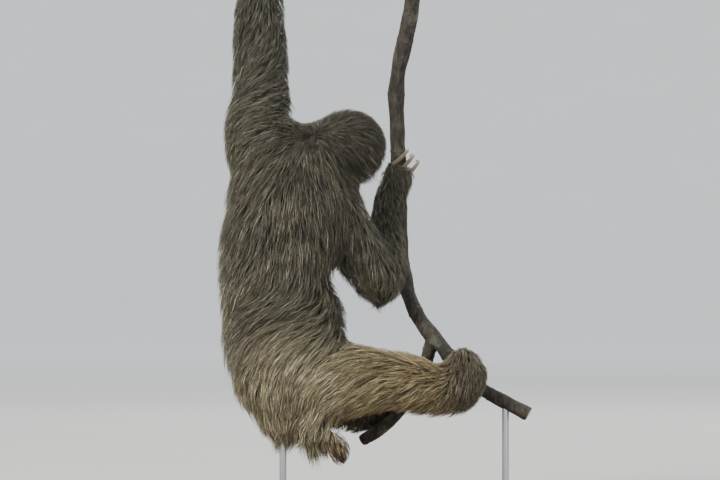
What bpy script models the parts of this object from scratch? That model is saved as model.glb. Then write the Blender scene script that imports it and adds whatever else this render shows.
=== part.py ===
"""Three-toed sloth climbing a forked branch: a still, life-size display model.

The sloth hangs by its left arm, its back towards -Y, its head turned away and to
its right. Its right hand and both feet hook the same forked branch, which is the
perch. A flat base with two rods carries the rump and the branch's lower end.

Units are metres, +Z up. The origin is the middle of the base's underside. The
flesh solids are the outer form of the animal with its coat. "left" and "right" in
a name are the animal's own, which are -X and +X here.
"""
import math

import bmesh
import bpy
import numpy as np
from mathutils import Vector
from mathutils.bvhtree import BVHTree

# ---------------------------------------------------------------- driving dimensions
GAP = 0.0003  # clearance between solids that touch
POINT = 1e-6  # a section smaller than this is a point

# Joint centres. An upper arm is about 0.14 long, a left forearm 0.16 and a right one
# 0.12, a thigh 0.12 and a shank 0.10.
LEFT_SHOULDER = (-0.121, 0.003, 0.500)
LEFT_ELBOW = (-0.126, 0.008, 0.634)
LEFT_WRIST = (-0.122, 0.000, 0.795)
RIGHT_SHOULDER = (-0.034, 0.018, 0.440)
RIGHT_ELBOW = (0.043, 0.050, 0.322)
RIGHT_WRIST = (0.053, 0.116, 0.424)
LEFT_HIP = (-0.116, 0.010, 0.178)
LEFT_KNEE = (-0.100, 0.128, 0.176)
LEFT_ANKLE = (0.002, 0.122, 0.137)
RIGHT_HIP = (-0.050, 0.002, 0.182)
RIGHT_KNEE = (0.058, -0.032, 0.188)
RIGHT_ANKLE = (0.146, 0.016, 0.172)

# Limb stations from inside the trunk outward: centre, half width, half depth. A limb
# ends at its knuckles, whose place follows from its grip.
LEFT_ARM = [
    ((-0.112, 0.010, 0.446), 0.050, 0.050),
    (LEFT_SHOULDER, 0.055, 0.052),
    ((-0.129, 0.004, 0.545), 0.050, 0.046),
    ((-0.125, 0.006, 0.574), 0.044, 0.041),
    (LEFT_ELBOW, 0.041, 0.039),
    ((-0.127, 0.005, 0.718), 0.036, 0.034),
    (LEFT_WRIST, 0.026, 0.022),
]
RIGHT_ARM = [
    ((-0.052, 0.020, 0.452), 0.044, 0.044),
    (RIGHT_SHOULDER, 0.046, 0.044),
    ((0.004, 0.036, 0.380), 0.040, 0.040),
    (RIGHT_ELBOW, 0.035, 0.036),
    ((0.049, 0.086, 0.368), 0.033, 0.033),
    (RIGHT_WRIST, 0.025, 0.023),
]
LEFT_LEG = [
    (LEFT_HIP, 0.048, 0.050),
    ((-0.112, 0.070, 0.176), 0.045, 0.047),
    (LEFT_KNEE, 0.036, 0.037),
    ((-0.052, 0.130, 0.156), 0.037, 0.034),
    (LEFT_ANKLE, 0.031, 0.025),
]
RIGHT_LEG = [
    (RIGHT_HIP, 0.052, 0.054),
    ((0.004, -0.014, 0.186), 0.053, 0.049),
    (RIGHT_KNEE, 0.044, 0.042),
    ((0.106, -0.012, 0.177), 0.039, 0.037),
]
RIGHT_HEEL = [(RIGHT_ANKLE, 0.038, 0.032), ((0.162, 0.006, 0.203), 0.035, 0.030)]
KNUCKLES = {
    "left_hand": (0.026, 0.013),
    "right_hand": (0.026, 0.013),
    "left_foot": (0.024, 0.014),
    "right_foot": (0.027, 0.018),
}
NECK = [((-0.080, 0.010, 0.478), 0.054, 0.052), ((-0.044, 0.018, 0.502), 0.051, 0.050)]
NECK_TOP = 0.048  # half width and half depth of the neck at the head's centre

# Trunk stations from the rump up: x, y, z of the centre, half width, half depth.
TRUNK = [
    (-0.092, 0.014, 0.142, 0.046, 0.044),
    (-0.092, 0.008, 0.172, 0.067, 0.061),
    (-0.095, 0.004, 0.228, 0.086, 0.074),
    (-0.093, 0.003, 0.260, 0.088, 0.077),
    (-0.101, 0.003, 0.295, 0.082, 0.079),
    (-0.107, 0.002, 0.335, 0.080, 0.078),
    (-0.101, 0.004, 0.375, 0.084, 0.076),
    (-0.093, 0.008, 0.425, 0.085, 0.074),
    (-0.089, 0.012, 0.465, 0.084, 0.068),
    (-0.092, 0.013, 0.490, 0.076, 0.055),
]

# Head: nearly round, turned HEAD_YAW from straight ahead to the animal's right.
HEAD_CENTRE = (-0.001, 0.032, 0.514)
HEAD_YAW = math.radians(35)
HEAD_PITCH = math.radians(-8)
HEAD_RADII = (0.0545, 0.0510, 0.0535)  # half width, half length, half height
MUZZLE_FORWARD = 0.041
MUZZLE_DROP = 0.014
MUZZLE_RADII = (0.026, 0.024, 0.020)
EYE_RADIUS = 0.0062
EYE_SIDE = 0.0185
EYE_LIFT = 0.004
EYE_PROUD = 0.0016  # how far the eyeball stands out of the coat round it
NOSE_RADII = (0.0105, 0.0065, 0.0075)
NOSE_LIFT = -0.008

TAIL_ROOT = (-0.070, -0.006, 0.140)
TAIL_BEND = (-0.036, -0.014, 0.110)
TAIL_TIP = (-0.015, -0.012, 0.086)
TAIL_RADIUS = 0.0195
TAIL_ROOT_WIDER = 1.25  # times the tail's radius where it leaves the rump

# Perch: x, y, z and radius along each stem. It is one branch with two forks.
LIMB = [
    (-0.262, 0.017, 0.776, 0.0205),
    (-0.140, 0.022, 0.867, 0.0200),
    (-0.020, 0.026, 0.958, 0.0192),
    (0.110, 0.020, 1.052, 0.0182),
]
STEM = [
    (0.068, 0.024, 1.004, 0.0140),
    (0.084, 0.034, 0.900, 0.0125),
    (0.092, 0.060, 0.790, 0.0120),
    (0.086, 0.093, 0.705, 0.0115),
    (0.067, 0.132, 0.610, 0.0112),
    (0.068, 0.152, 0.530, 0.0110),
    (0.070, 0.155, 0.450, 0.0106),
    (0.073, 0.139, 0.368, 0.0106),
    (0.082, 0.111, 0.308, 0.0106),
    (0.101, 0.080, 0.266, 0.0106),
    (0.129, 0.056, 0.232, 0.0106),
    (0.155, 0.048, 0.199, 0.0105),
    (0.187, 0.045, 0.171, 0.0101),
    (0.252, 0.040, 0.136, 0.0096),
]
SIDE_SHOOT = [
    (0.117, 0.064, 0.246, 0.0095),
    (0.100, 0.076, 0.186, 0.0092),
    (0.068, 0.088, 0.136, 0.0088),
    (0.040, 0.094, 0.111, 0.0084),
    (0.016, 0.102, 0.096, 0.0080),
]
STEM_JOINTS = (0.30, 0.62)  # shares of the stem's length where its nodes meet

# Claws: three on each hand and foot, each an arc that tapers to a point.
HAND_CLAW = {"radius": 0.0040, "bend": 0.0300, "spread": 0.0130, "pad": 0.0140}
FOOT_CLAW = {"radius": 0.0037, "bend": 0.0260, "spread": 0.0120, "pad": 0.0160}
CLAW_SINK = math.radians(-30)  # where the arc starts, inside the toes
CLAW_END = math.radians(122)  # where the middle claw's point is
CLAW_SHORTER = math.radians(9)  # how much sooner the two outer claws end
CLAW_CLOSING = 0.18  # share of the spread that is lost at the points
CLAW_TAPER = 0.80  # share of the thickness that is lost at the point
CLAW_FULLNESS = 1.7  # above 1, a claw stays thick for longer
CLAW_OVAL = (0.82, 1.10)  # a claw's half width and half depth for each radius
KNUCKLE_TURN = math.radians(-4)  # where the hand or foot ends on the claws' arc

# Stand
BASE_SIZE = (0.540, 0.340, 0.018)
BASE_EDGE = 0.0030
ROD_RADIUS = 0.0050
RUMP_ROD = (-0.094, 0.006, 0.150)
PERCH_ROD = (0.219, 0.0425, 0.1465)

# Facets
FLESH_VOXEL = 0.0050
FLESH_SMOOTHING = 7
FLESH_TRIANGLES = 2460
CORE_VOXEL = 0.0080
CORE_SMOOTHING = 2
CORE_TRIANGLES = 120
TUBE_SIDES = 14
TRUNK_SIDES = 24
CLAW_SIDES = 6
ROD_SIDES = 12
SHARP_EDGE = math.radians(40)  # a sharper edge than this is shaded as an edge

# Cuts between the nodes
LIMB_CORE_MORE = 0.007  # how much wider than the limb its core is
TAIL_CORE_MORE = 0.004
TAIL_CORE_START = 3  # the row where the tail's core starts
JOINT_REACH = 0.200  # half size of the cut at an elbow or knee
END_REACH = 0.045  # the same at a wrist or ankle
NECK_REACH = 0.078
STEM_REACH = 0.450
NECK_CUT = ((-0.036, 0.012, 0.497), (0.78, 0.22, 0.60))  # a point and a direction
HEAD_CUT = ((-0.014, 0.020, 0.511), (0.76, 0.42, 0.50))


# ---------------------------------------------------------------- scene and materials
def clear_scene():
    """Remove every object and mesh that the file already holds."""
    for old in list(bpy.data.objects):
        bpy.data.objects.remove(old, do_unlink=True)
    for old in list(bpy.data.meshes):
        bpy.data.meshes.remove(old)


def material(name, colour, roughness, metallic=0.0):
    """A Principled material of one colour."""
    made = bpy.data.materials.new(name)
    made.use_nodes = True
    shader = made.node_tree.nodes["Principled BSDF"]
    shader.inputs["Base Color"].default_value = (*colour, 1.0)
    shader.inputs["Roughness"].default_value = roughness
    shader.inputs["Metallic"].default_value = metallic
    return made


def add_object(name, bm, finish=None):
    """Put a bmesh into the scene as one named object, with its own finish."""
    mesh = bpy.data.meshes.new(name)
    bm.to_mesh(mesh)
    bm.free()
    made = bpy.data.objects.new(name, mesh)
    bpy.context.scene.collection.objects.link(made)
    if finish:
        mesh.materials.append(material(name, *finish))
        mesh.shade_smooth()
        mesh.set_sharp_from_angle(angle=SHARP_EDGE)
    return made


def guide(made):
    """Mark an object as a construction guide, which is not a part of the model."""
    made.hide_render = True
    made.display_type = "WIRE"
    return made


# ---------------------------------------------------------------- shapes
def through(points, steps):
    """Rows of numbers on a Catmull-Rom curve through the given rows."""
    rows = np.array(points, float)
    ends = np.vstack([2 * rows[0] - rows[1], rows, 2 * rows[-1] - rows[-2]])
    share = np.linspace(0, 1, steps, endpoint=False)[:, None]
    spans = []
    for before, first, last, after in zip(ends[:-3], ends[1:-2], ends[2:-1], ends[3:]):
        spans.append(0.5 * (2 * first + (last - before) * share
                            + (2 * before - 5 * first + 4 * last - after) * share**2
                            + (3 * first - before - 3 * last + after) * share**3))
    return np.vstack([*spans, rows[-1:]])


def with_round_ends(rows, rings):
    """Rows for add_tube with a dome added at each end."""
    turns = [math.pi / 2 * k / rings for k in range(1, rings + 1)]

    def dome(end, beside):
        away = end[:3] - beside[:3]
        away /= np.linalg.norm(away)
        for turn in turns:
            row = end.copy()
            row[:3] += away * min(end[3:5]) * math.sin(turn)
            row[3:5] *= math.cos(turn)
            yield row

    first = list(dome(rows[0], rows[1]))[::-1]
    last = list(dome(rows[-1], rows[-2]))
    return np.vstack([*first, rows, *last])


def add_tube(bm, rows, sides=TUBE_SIDES, end_rings=3):
    """Carry an oval section along rows of x, y, z, half width, half depth and wide.

    The section is centre + half width * cos t * W + half depth * sin t * D, where
    W is the direction wide, made square to the path, and D is square to both. Each
    end is a dome of end_rings rings, or flat if there are none.
    """
    if end_rings:
        rows = with_round_ends(rows, end_rings)
    centres = rows[:, :3]
    along = np.gradient(centres, axis=0)
    along /= np.linalg.norm(along, axis=1)[:, None]
    across = rows[:, 5:8] - along * np.sum(along * rows[:, 5:8], axis=1)[:, None]
    across /= np.linalg.norm(across, axis=1)[:, None]
    deep = np.cross(along, across)
    rings = []
    for centre, side, back, half in zip(centres, across, deep, rows[:, 3:5]):
        if half[0] < POINT:
            rings.append([bm.verts.new(centre)])
            continue
        ring = []
        for k in range(sides):
            turn = 2 * math.pi * k / sides
            ring.append(bm.verts.new(centre + side * half[0] * math.cos(turn)
                                     + back * half[1] * math.sin(turn)))
        rings.append(ring)
    for low, high in zip(rings[:-1], rings[1:]):
        for k in range(sides):
            after = (k + 1) % sides
            if len(low) == 1:
                bm.faces.new((low[0], high[after], high[k]))
            elif len(high) == 1:
                bm.faces.new((low[k], low[after], high[0]))
            else:
                bm.faces.new((low[k], low[after], high[after], high[k]))
    if not end_rings:
        bm.faces.new(rings[0][::-1])
        bm.faces.new(rings[-1])
    bmesh.ops.recalc_face_normals(bm, faces=bm.faces)


def rows_along(stations, wide, steps=5):
    """Rows for add_tube through stations of centre, half width, half depth.

    A station may end with a wide direction of its own, from which on it holds.
    """
    rows = []
    for centre, *rest in stations:
        if len(rest) == 3:
            wide = rest[2]
        rows.append((*centre, rest[0], rest[1], *wide))
    return through(rows, steps)


def add_ball(bm, centre, radii, turn=None, segments=20, rings=14):
    """An ellipsoid: a unit sphere scaled by its radii along the head's own axes."""
    ball = bmesh.ops.create_uvsphere(bm, u_segments=segments, v_segments=rings, radius=1)
    for vert in ball["verts"]:
        local = Vector([a * b for a, b in zip(vert.co, radii)])
        if turn:
            local = turn[0] * local.x + turn[1] * local.y + turn[2] * local.z
        vert.co = Vector(centre) + local


def head_axes():
    """The head's own right, forward and up directions."""
    forward = Vector((math.sin(HEAD_YAW) * math.cos(HEAD_PITCH),
                      math.cos(HEAD_YAW) * math.cos(HEAD_PITCH),
                      math.sin(HEAD_PITCH)))
    right = forward.cross(Vector((0, 0, 1))).normalized()
    return right, forward, right.cross(forward)


HEAD_AXES = head_axes()


def on_head(side, ahead, lift):
    """A point given in the head's own directions from its centre."""
    right, forward, up = HEAD_AXES
    return Vector(HEAD_CENTRE) + right * side + forward * ahead + up * lift


# ---------------------------------------------------------------- solids
def evaluated(made):
    """The object's mesh with its modifiers applied, and the modifiers removed."""
    graph = bpy.context.evaluated_depsgraph_get()
    mesh = bpy.data.meshes.new_from_object(made.evaluated_get(graph))
    made.modifiers.clear()
    made.data = mesh
    return made


def boolean(made, cutter, operation):
    """Apply an exact Boolean of the object with a cutter."""
    cut = made.modifiers.new(operation.lower(), "BOOLEAN")
    cut.object = cutter
    cut.operation = operation
    cut.solver = "EXACT"
    return evaluated(made)


def copy_of(made, name):
    """An independent copy of an object."""
    twin = bpy.data.objects.new(name, made.data.copy())
    bpy.context.scene.collection.objects.link(twin)
    return twin


def keep_largest(made):
    """Delete the crumbs that a cut may leave, and keep the one large body."""
    bm = bmesh.new()
    bm.from_mesh(made.data)
    left = set(bm.verts)
    bodies = []
    while left:
        reached = {left.pop()}
        front = set(reached)
        while front:
            front = {e.other_vert(v) for v in front for e in v.link_edges} - reached
            reached |= front
        left -= reached
        bodies.append(reached)
    bodies.sort(key=len)
    bmesh.ops.delete(bm, geom=[v for body in bodies[:-1] for v in body])
    bmesh.ops.triangulate(bm, faces=bm.faces)
    bm.to_mesh(made.data)
    bm.free()
    return made


def eased(made, voxel, smoothing, triangles):
    """Melt an object's overlapping shapes into one even, soft, closed surface."""
    even = made.modifiers.new("even", "REMESH")
    even.mode = "VOXEL"
    even.voxel_size = voxel
    evaluated(made)
    soften = made.modifiers.new("soften", "SMOOTH")
    soften.factor = 0.5
    soften.iterations = smoothing
    evaluated(made)
    made.data.calc_loop_triangles()
    fewer = made.modifiers.new("fewer", "DECIMATE")
    fewer.ratio = triangles / len(made.data.loop_triangles)
    return evaluated(made)


def cored(body, name, rows):
    """Take the part of the body inside a tube out of it, as a piece of its own."""
    bm = bmesh.new()
    add_tube(bm, rows)
    core = eased(guide(add_object(name + "_core", bm)), CORE_VOXEL, CORE_SMOOTHING,
                 CORE_TRIANGLES)
    piece = boolean(copy_of(body, name), core, "INTERSECT")
    for vert in core.data.vertices:
        vert.co += vert.normal * GAP
    keep_largest(boolean(body, core, "DIFFERENCE"))
    bpy.data.objects.remove(core)
    return keep_largest(piece)


def parted(body, name, centre, normal, reach):
    """Part the body by a thin flat cut. What lies beyond it becomes the new piece.

    The cut reaches that far to each side, so that it misses other limbs.
    """
    normal = Vector(normal).normalized()
    turn = normal.to_track_quat("Z", "Y").to_matrix().to_4x4()

    def slab(low, high):
        bm = bmesh.new()
        bmesh.ops.create_cube(bm, size=1)
        for vert in bm.verts:
            vert.co = turn @ Vector((vert.co.x * 2 * reach, vert.co.y * 2 * reach,
                                     low + (vert.co.z + 0.5) * (high - low)))
            vert.co += Vector(centre)
        return guide(add_object(name + "_slab", bm))

    beyond = slab(GAP / 2, 2 * reach)
    nearer = slab(-GAP / 2, 2 * reach + GAP)
    piece = boolean(copy_of(body, name), beyond, "INTERSECT")
    keep_largest(boolean(body, nearer, "DIFFERENCE"))
    for tool in (beyond, nearer):
        bpy.data.objects.remove(tool)
    return keep_largest(piece)


def cut_by(made, shapes):
    """Cut an object by each shape, a function that adds itself to a bmesh."""
    for shape in shapes:
        bm = bmesh.new()
        shape(bm)
        cutter = guide(add_object("cutter", bm))
        boolean(made, cutter, "DIFFERENCE")
        bpy.data.objects.remove(cutter)


# ---------------------------------------------------------------- perch
def perch_rows(points, steps, grow=0.0):
    """Rows for add_tube along a stem of the perch, round in section."""
    rows = [((x, y, z), radius + grow, radius + grow) for x, y, z, radius in points]
    return rows_along(rows, (0, 1, 0), steps)


def perch_shapes(grow):
    """Every stem of the perch, thicker by grow, as shapes for cut_by."""
    return [
        lambda bm: add_tube(bm, perch_rows(LIMB, 3, grow), 12, 0),
        lambda bm: add_tube(bm, perch_rows(STEM, 2, grow), 8, 0),
        lambda bm: add_tube(bm, perch_rows(SIDE_SHOOT, 2, grow), 7, 0),
    ]


def perch_at(points, share):
    """The centre, direction and radius of a stem at a share of its length."""
    rows = through(points, 12)
    steps = np.linalg.norm(np.diff(rows[:, :3], axis=0), axis=1)
    length = np.concatenate([[0], np.cumsum(steps)])
    k = int(np.searchsorted(length, share * length[-1]))
    k = min(max(k, 1), len(rows) - 2)
    along = rows[k + 1, :3] - rows[k - 1, :3]
    return Vector(rows[k, :3]), Vector(along).normalized(), rows[k, 3]


def make_perch():
    """The forked branch, as a limb, three lengths of stem and a side shoot."""
    bark = (0.16, 0.115, 0.085)
    limb, stem, shoot = perch_shapes(0.0)
    pieces = []
    for name, shape in (("perch_limb", limb), ("perch_stem_top", stem),
                        ("perch_side_shoot", shoot)):
        bm = bmesh.new()
        shape(bm)
        pieces.append(add_object(name, bm, (bark, 0.85)))
    top = pieces[1]
    cut_by(top, perch_shapes(GAP)[:1])
    keep_largest(top)
    for name, share in zip(("perch_stem_foot", "perch_stem_middle"), STEM_JOINTS[::-1]):
        centre, along, _radius = perch_at(STEM, share)
        parted(top, name, centre, along, STEM_REACH)
    keep_largest(top)
    cut_by(pieces[2], perch_shapes(GAP)[1:2])
    keep_largest(pieces[2])


# ---------------------------------------------------------------- claws
def grip(points, share, palm, over, claw, lean=0):
    """Where a hand or foot hooks a stem: the claws' centre and three directions.

    palm points from the stem to the palm or sole, and over from there the way the
    claws bend, both made square to the stem. The hook may then lean, in degrees, so
    that it crosses the stem aslant. along is square to both. The pad of the hand
    rests on the stem.
    """
    centre, along, radius = perch_at(points, share)
    palm = Vector(palm)
    palm = (palm - along * palm.dot(along)).normalized()
    over = Vector(over)
    over = (over - along * over.dot(along) - palm * over.dot(palm)).normalized()
    lean = math.radians(lean)
    over, along = (over * math.cos(lean) - along * math.sin(lean),
                   along * math.cos(lean) + over * math.sin(lean))
    away = radius + claw["pad"] + GAP - claw["bend"]
    return {"centre": centre + palm * away, "along": along, "palm": palm, "over": over,
            "claw": claw}


def hook_point(hold, turn, offset=0.0):
    """A point on the hook's arc: centre + bend * (cos t * palm + sin t * over)."""
    out = hold["palm"] * math.cos(turn) + hold["over"] * math.sin(turn)
    return hold["centre"] + hold["along"] * offset + out * hold["claw"]["bend"]


def claw_rows(hold, which, grow=0.0, steps=7):
    """Rows for add_tube along one claw, a tapering arc. which is -1, 0 or 1."""
    claw = hold["claw"]
    end_turn = CLAW_END - CLAW_SHORTER * abs(which)
    rows = []
    for k in range(steps + 1):
        share = k / steps
        turn = CLAW_SINK + (end_turn - CLAW_SINK) * share
        spread = claw["spread"] * which * (1 - CLAW_CLOSING * share)
        point = hook_point(hold, turn, spread)
        half = claw["radius"] * (1 - CLAW_TAPER * share**CLAW_FULLNESS) + grow
        rows.append((*point, *(half * oval for oval in CLAW_OVAL), *hold["along"]))
    return np.array(rows)


GRIPS = {
    "left_hand": grip(LIMB, 0.335, (0.1, -1, -0.25), (-0.5, 0, 1), HAND_CLAW, 12),
    "right_hand": grip(STEM, 0.545, (0.15, -1, -0.1), (1, 0, 0), HAND_CLAW, 42),
    "left_foot": grip(SIDE_SHOOT, 0.66, (-0.1, 0.85, 0.5), (-0.3, -0.5, 1), FOOT_CLAW),
    "right_foot": grip(STEM, 0.875, (0.15, -1, 0), (0.7, 0, 0.7), FOOT_CLAW),
}


def make_claws():
    """Three horn claws for each grip."""
    horn = (0.42, 0.35, 0.24)
    for name, hold in GRIPS.items():
        for which in (-1, 0, 1):
            bm = bmesh.new()
            add_tube(bm, claw_rows(hold, which), CLAW_SIDES, 1)
            add_object(f"{name}_claw_{which + 2}", bm, (horn, 0.45))


# ---------------------------------------------------------------- the animal
def knuckles(name):
    """The middle of a hand's or foot's end, near where its claws come out."""
    return hook_point(GRIPS[name], KNUCKLE_TURN)


def hand_side(name, like):
    """The wide side of a hand or foot, along the stem, nearest to a direction."""
    along = GRIPS[name]["along"]
    return along if along.dot(Vector(like)) > 0 else -along


def limb_paths():
    """Each limb's rows, from inside the trunk to the knuckles."""
    forward = (1, 0, 0.1)
    upright = (0, 0, 1)

    def end(name, like):
        side = hand_side(name, like)
        return (knuckles(name), *KNUCKLES[name], side)

    heel_side = hand_side("right_foot", upright)
    heel = [(*station, heel_side) for station in RIGHT_HEEL]
    return {
        "left_arm": rows_along([*LEFT_ARM, end("left_hand", forward)], forward),
        "right_arm": rows_along([*RIGHT_ARM, end("right_hand", forward)], forward),
        "left_leg": rows_along([*LEFT_LEG, end("left_foot", upright)], upright),
        "right_leg": rows_along([*RIGHT_LEG, *heel, end("right_foot", upright)], upright),
    }


def neck_rows():
    """The short thick neck from between the shoulders to the middle of the head."""
    return rows_along([*NECK, (HEAD_CENTRE, NECK_TOP, NECK_TOP)], (0, 1, 0))


def tail_rows():
    """The stub of a tail."""
    root = TAIL_RADIUS * TAIL_ROOT_WIDER
    return rows_along([(TAIL_ROOT, root, root), (TAIL_BEND, TAIL_RADIUS, TAIL_RADIUS),
                       (TAIL_TIP, TAIL_RADIUS, TAIL_RADIUS)], (0, 1, 0))


def whole_body():
    """The animal's outer form as one closed, evenly faceted skin."""
    bm = bmesh.new()
    trunk = [((x, y, z), width, depth) for x, y, z, width, depth in TRUNK]
    add_tube(bm, rows_along(trunk, (1, 0, 0), 4), TRUNK_SIDES)
    for rows in (neck_rows(), tail_rows(), *limb_paths().values()):
        add_tube(bm, rows)
    add_ball(bm, HEAD_CENTRE, HEAD_RADII, HEAD_AXES)
    add_ball(bm, on_head(0, MUZZLE_FORWARD, -MUZZLE_DROP), MUZZLE_RADII, HEAD_AXES)
    return eased(add_object("trunk", bm), FLESH_VOXEL, FLESH_SMOOTHING, FLESH_TRIANGLES)


def wider_rows(rows, more, start):
    """Rows from a given one on, wider by more all round."""
    return rows[start:] + np.array([0, 0, 0, more, more, 0, 0, 0])


def nearest_row(rows, point):
    """The row of a path that lies nearest to a point."""
    return int(np.argmin(np.linalg.norm(rows[:, :3] - np.array(point), axis=1)))


def make_animal():
    """The whole body parted at its joints, then its eyes and nose."""
    body = whole_body()
    bodies = {"trunk": body}
    paths = limb_paths()
    # The upper, lower and end piece of each limb, its two joints, and the row where
    # its core starts inside the trunk.
    chains = {
        "left_arm": ("left_upper_arm", "left_forearm", "left_hand",
                     LEFT_ELBOW, LEFT_WRIST, 6),
        "right_arm": ("right_upper_arm", "right_forearm", "right_hand",
                      RIGHT_ELBOW, RIGHT_WRIST, 4),
        "left_leg": ("left_thigh", "left_shank", "left_foot",
                     LEFT_KNEE, LEFT_ANKLE, 5),
        "right_leg": ("right_thigh", "right_shank", "right_foot",
                      RIGHT_KNEE, RIGHT_ANKLE, 3),
    }
    for limb, (upper, lower, end, middle, last, start) in chains.items():
        rows = paths[limb]
        piece = cored(body, upper, wider_rows(rows, LIMB_CORE_MORE, start))
        place = nearest_row(rows, last)
        bodies[end] = parted(piece, end, last, Vector(last) - Vector(rows[place - 1, :3]),
                             END_REACH)
        place = nearest_row(rows, middle)
        along = rows[place + 1, :3] - rows[place - 1, :3]
        bodies[lower] = parted(piece, lower, middle, along, JOINT_REACH)
        bodies[upper] = piece
    bodies["tail"] = cored(body, "tail",
                           wider_rows(tail_rows(), TAIL_CORE_MORE, TAIL_CORE_START))
    bodies["neck"] = parted(body, "neck", *NECK_CUT, NECK_REACH)
    bodies["head"] = parted(bodies["neck"], "head", *HEAD_CUT, NECK_REACH)

    coat = (0.235, 0.195, 0.150)
    for name, piece in bodies.items():
        keep_largest(piece)
        hold = GRIPS.get(name.replace("forearm", "hand").replace("shank", "foot"))
        if hold:
            cut_by(piece, perch_shapes(GAP))
            cut_by(piece, [lambda bm, w=which: add_tube(bm, claw_rows(hold, w, GAP),
                                                        CLAW_SIDES, 1)
                           for which in (-1, 0, 1)])
            keep_largest(piece)
        piece.name = name
        piece.data.name = name
        piece.data.materials.clear()
        piece.data.materials.append(material(name, coat, 0.9))
        piece.data.shade_smooth()
        piece.data.set_sharp_from_angle(angle=SHARP_EDGE)
    for name in ("trunk", "left_thigh"):
        cut_by(bodies[name], [lambda bm: add_rod(bm, RUMP_ROD, GAP)])
        keep_largest(bodies[name])
    make_face(bodies["head"])


def make_face(head):
    """The two eyes and the bare nose pad, each set into the head."""
    bm = bmesh.new()
    bm.from_mesh(head.data)
    surface = BVHTree.FromBMesh(bm)
    bm.free()
    _right, forward, _up = HEAD_AXES
    parts = []
    for name, side in (("left_eye", -EYE_SIDE), ("right_eye", EYE_SIDE)):
        ray = on_head(side * 0.6, 0.1, EYE_LIFT) - on_head(side * 0.2, 0, EYE_LIFT * 0.5)
        start = on_head(side, 0, EYE_LIFT)
        ray.normalize()
        hit = surface.ray_cast(start + ray * 0.2, -ray)[0]
        centre = hit - ray * (EYE_RADIUS - EYE_PROUD)
        parts.append((name, centre, (EYE_RADIUS,) * 3, (0.015, 0.012, 0.010), 0.08))
    hit = surface.ray_cast(on_head(0, 0.2, NOSE_LIFT), -forward)[0]
    parts.append(("nose", hit - forward * NOSE_RADII[1] * 0.35, NOSE_RADII,
                  (0.035, 0.028, 0.026), 0.4))
    for name, centre, radii, colour, roughness in parts:
        wider = [r + GAP for r in radii]
        cut_by(head, [lambda bm: add_ball(bm, centre, wider, HEAD_AXES, 10, 6)])
        bm = bmesh.new()
        add_ball(bm, centre, radii, HEAD_AXES, 10, 6)
        add_object(name, bm, (colour, roughness))
    keep_largest(head)


# ---------------------------------------------------------------- stand
def add_rod(bm, top, grow=0.0):
    """A round upright rod from the base's top to a point."""
    low = BASE_SIZE[2] + GAP
    radius = ROD_RADIUS + grow
    rows = np.array([(top[0], top[1], low, radius, radius, 1, 0, 0),
                     (top[0], top[1], top[2] + grow, radius, radius, 1, 0, 0)])
    add_tube(bm, rows, ROD_SIDES, 0)


def make_stand():
    """A flat base with bevelled edges, and the two rods that rise from it."""
    bm = bmesh.new()
    bmesh.ops.create_cube(bm, size=1)
    for vert in bm.verts:
        vert.co = Vector([a * b for a, b in zip(vert.co, BASE_SIZE)])
        vert.co.z += BASE_SIZE[2] / 2
    bmesh.ops.bevel(bm, geom=bm.edges[:], offset=BASE_EDGE, segments=2, affect="EDGES",
                    profile=0.5)
    add_object("stand_base", bm, ((0.22, 0.13, 0.075), 0.5))
    for name, top in (("stand_rod_rump", RUMP_ROD), ("stand_rod_perch", PERCH_ROD)):
        bm = bmesh.new()
        add_rod(bm, top)
        add_object(name, bm, ((0.45, 0.45, 0.46), 0.35, 1.0))
    cut_by(bpy.data.objects["perch_stem_foot"], [lambda bm: add_rod(bm, PERCH_ROD, GAP)])


clear_scene()
make_perch()
make_claws()
make_animal()
make_stand()
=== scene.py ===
import math

import bmesh
import bpy
import numpy as np
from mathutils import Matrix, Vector


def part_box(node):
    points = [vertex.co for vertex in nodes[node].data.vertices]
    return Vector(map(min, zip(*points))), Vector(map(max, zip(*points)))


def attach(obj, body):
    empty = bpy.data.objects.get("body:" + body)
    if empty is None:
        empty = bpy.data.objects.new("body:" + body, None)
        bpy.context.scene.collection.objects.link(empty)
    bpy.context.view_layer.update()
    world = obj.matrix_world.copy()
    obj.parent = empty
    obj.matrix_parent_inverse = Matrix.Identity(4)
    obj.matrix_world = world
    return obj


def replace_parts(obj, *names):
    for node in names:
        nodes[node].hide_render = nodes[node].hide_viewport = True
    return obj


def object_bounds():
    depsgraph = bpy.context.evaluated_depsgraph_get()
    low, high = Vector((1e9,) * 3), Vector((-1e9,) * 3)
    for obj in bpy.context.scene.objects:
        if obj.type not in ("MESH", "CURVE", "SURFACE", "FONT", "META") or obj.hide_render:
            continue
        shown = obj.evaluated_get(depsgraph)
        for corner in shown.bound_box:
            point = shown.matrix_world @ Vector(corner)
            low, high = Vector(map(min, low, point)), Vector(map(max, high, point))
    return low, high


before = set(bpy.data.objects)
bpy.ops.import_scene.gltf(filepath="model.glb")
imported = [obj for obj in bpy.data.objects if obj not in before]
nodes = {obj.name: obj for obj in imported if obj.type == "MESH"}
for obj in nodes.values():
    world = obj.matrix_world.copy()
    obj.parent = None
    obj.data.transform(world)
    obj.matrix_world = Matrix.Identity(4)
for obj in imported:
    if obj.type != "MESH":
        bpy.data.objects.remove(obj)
cad_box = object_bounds()
draw = np.random.default_rng(7)

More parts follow.
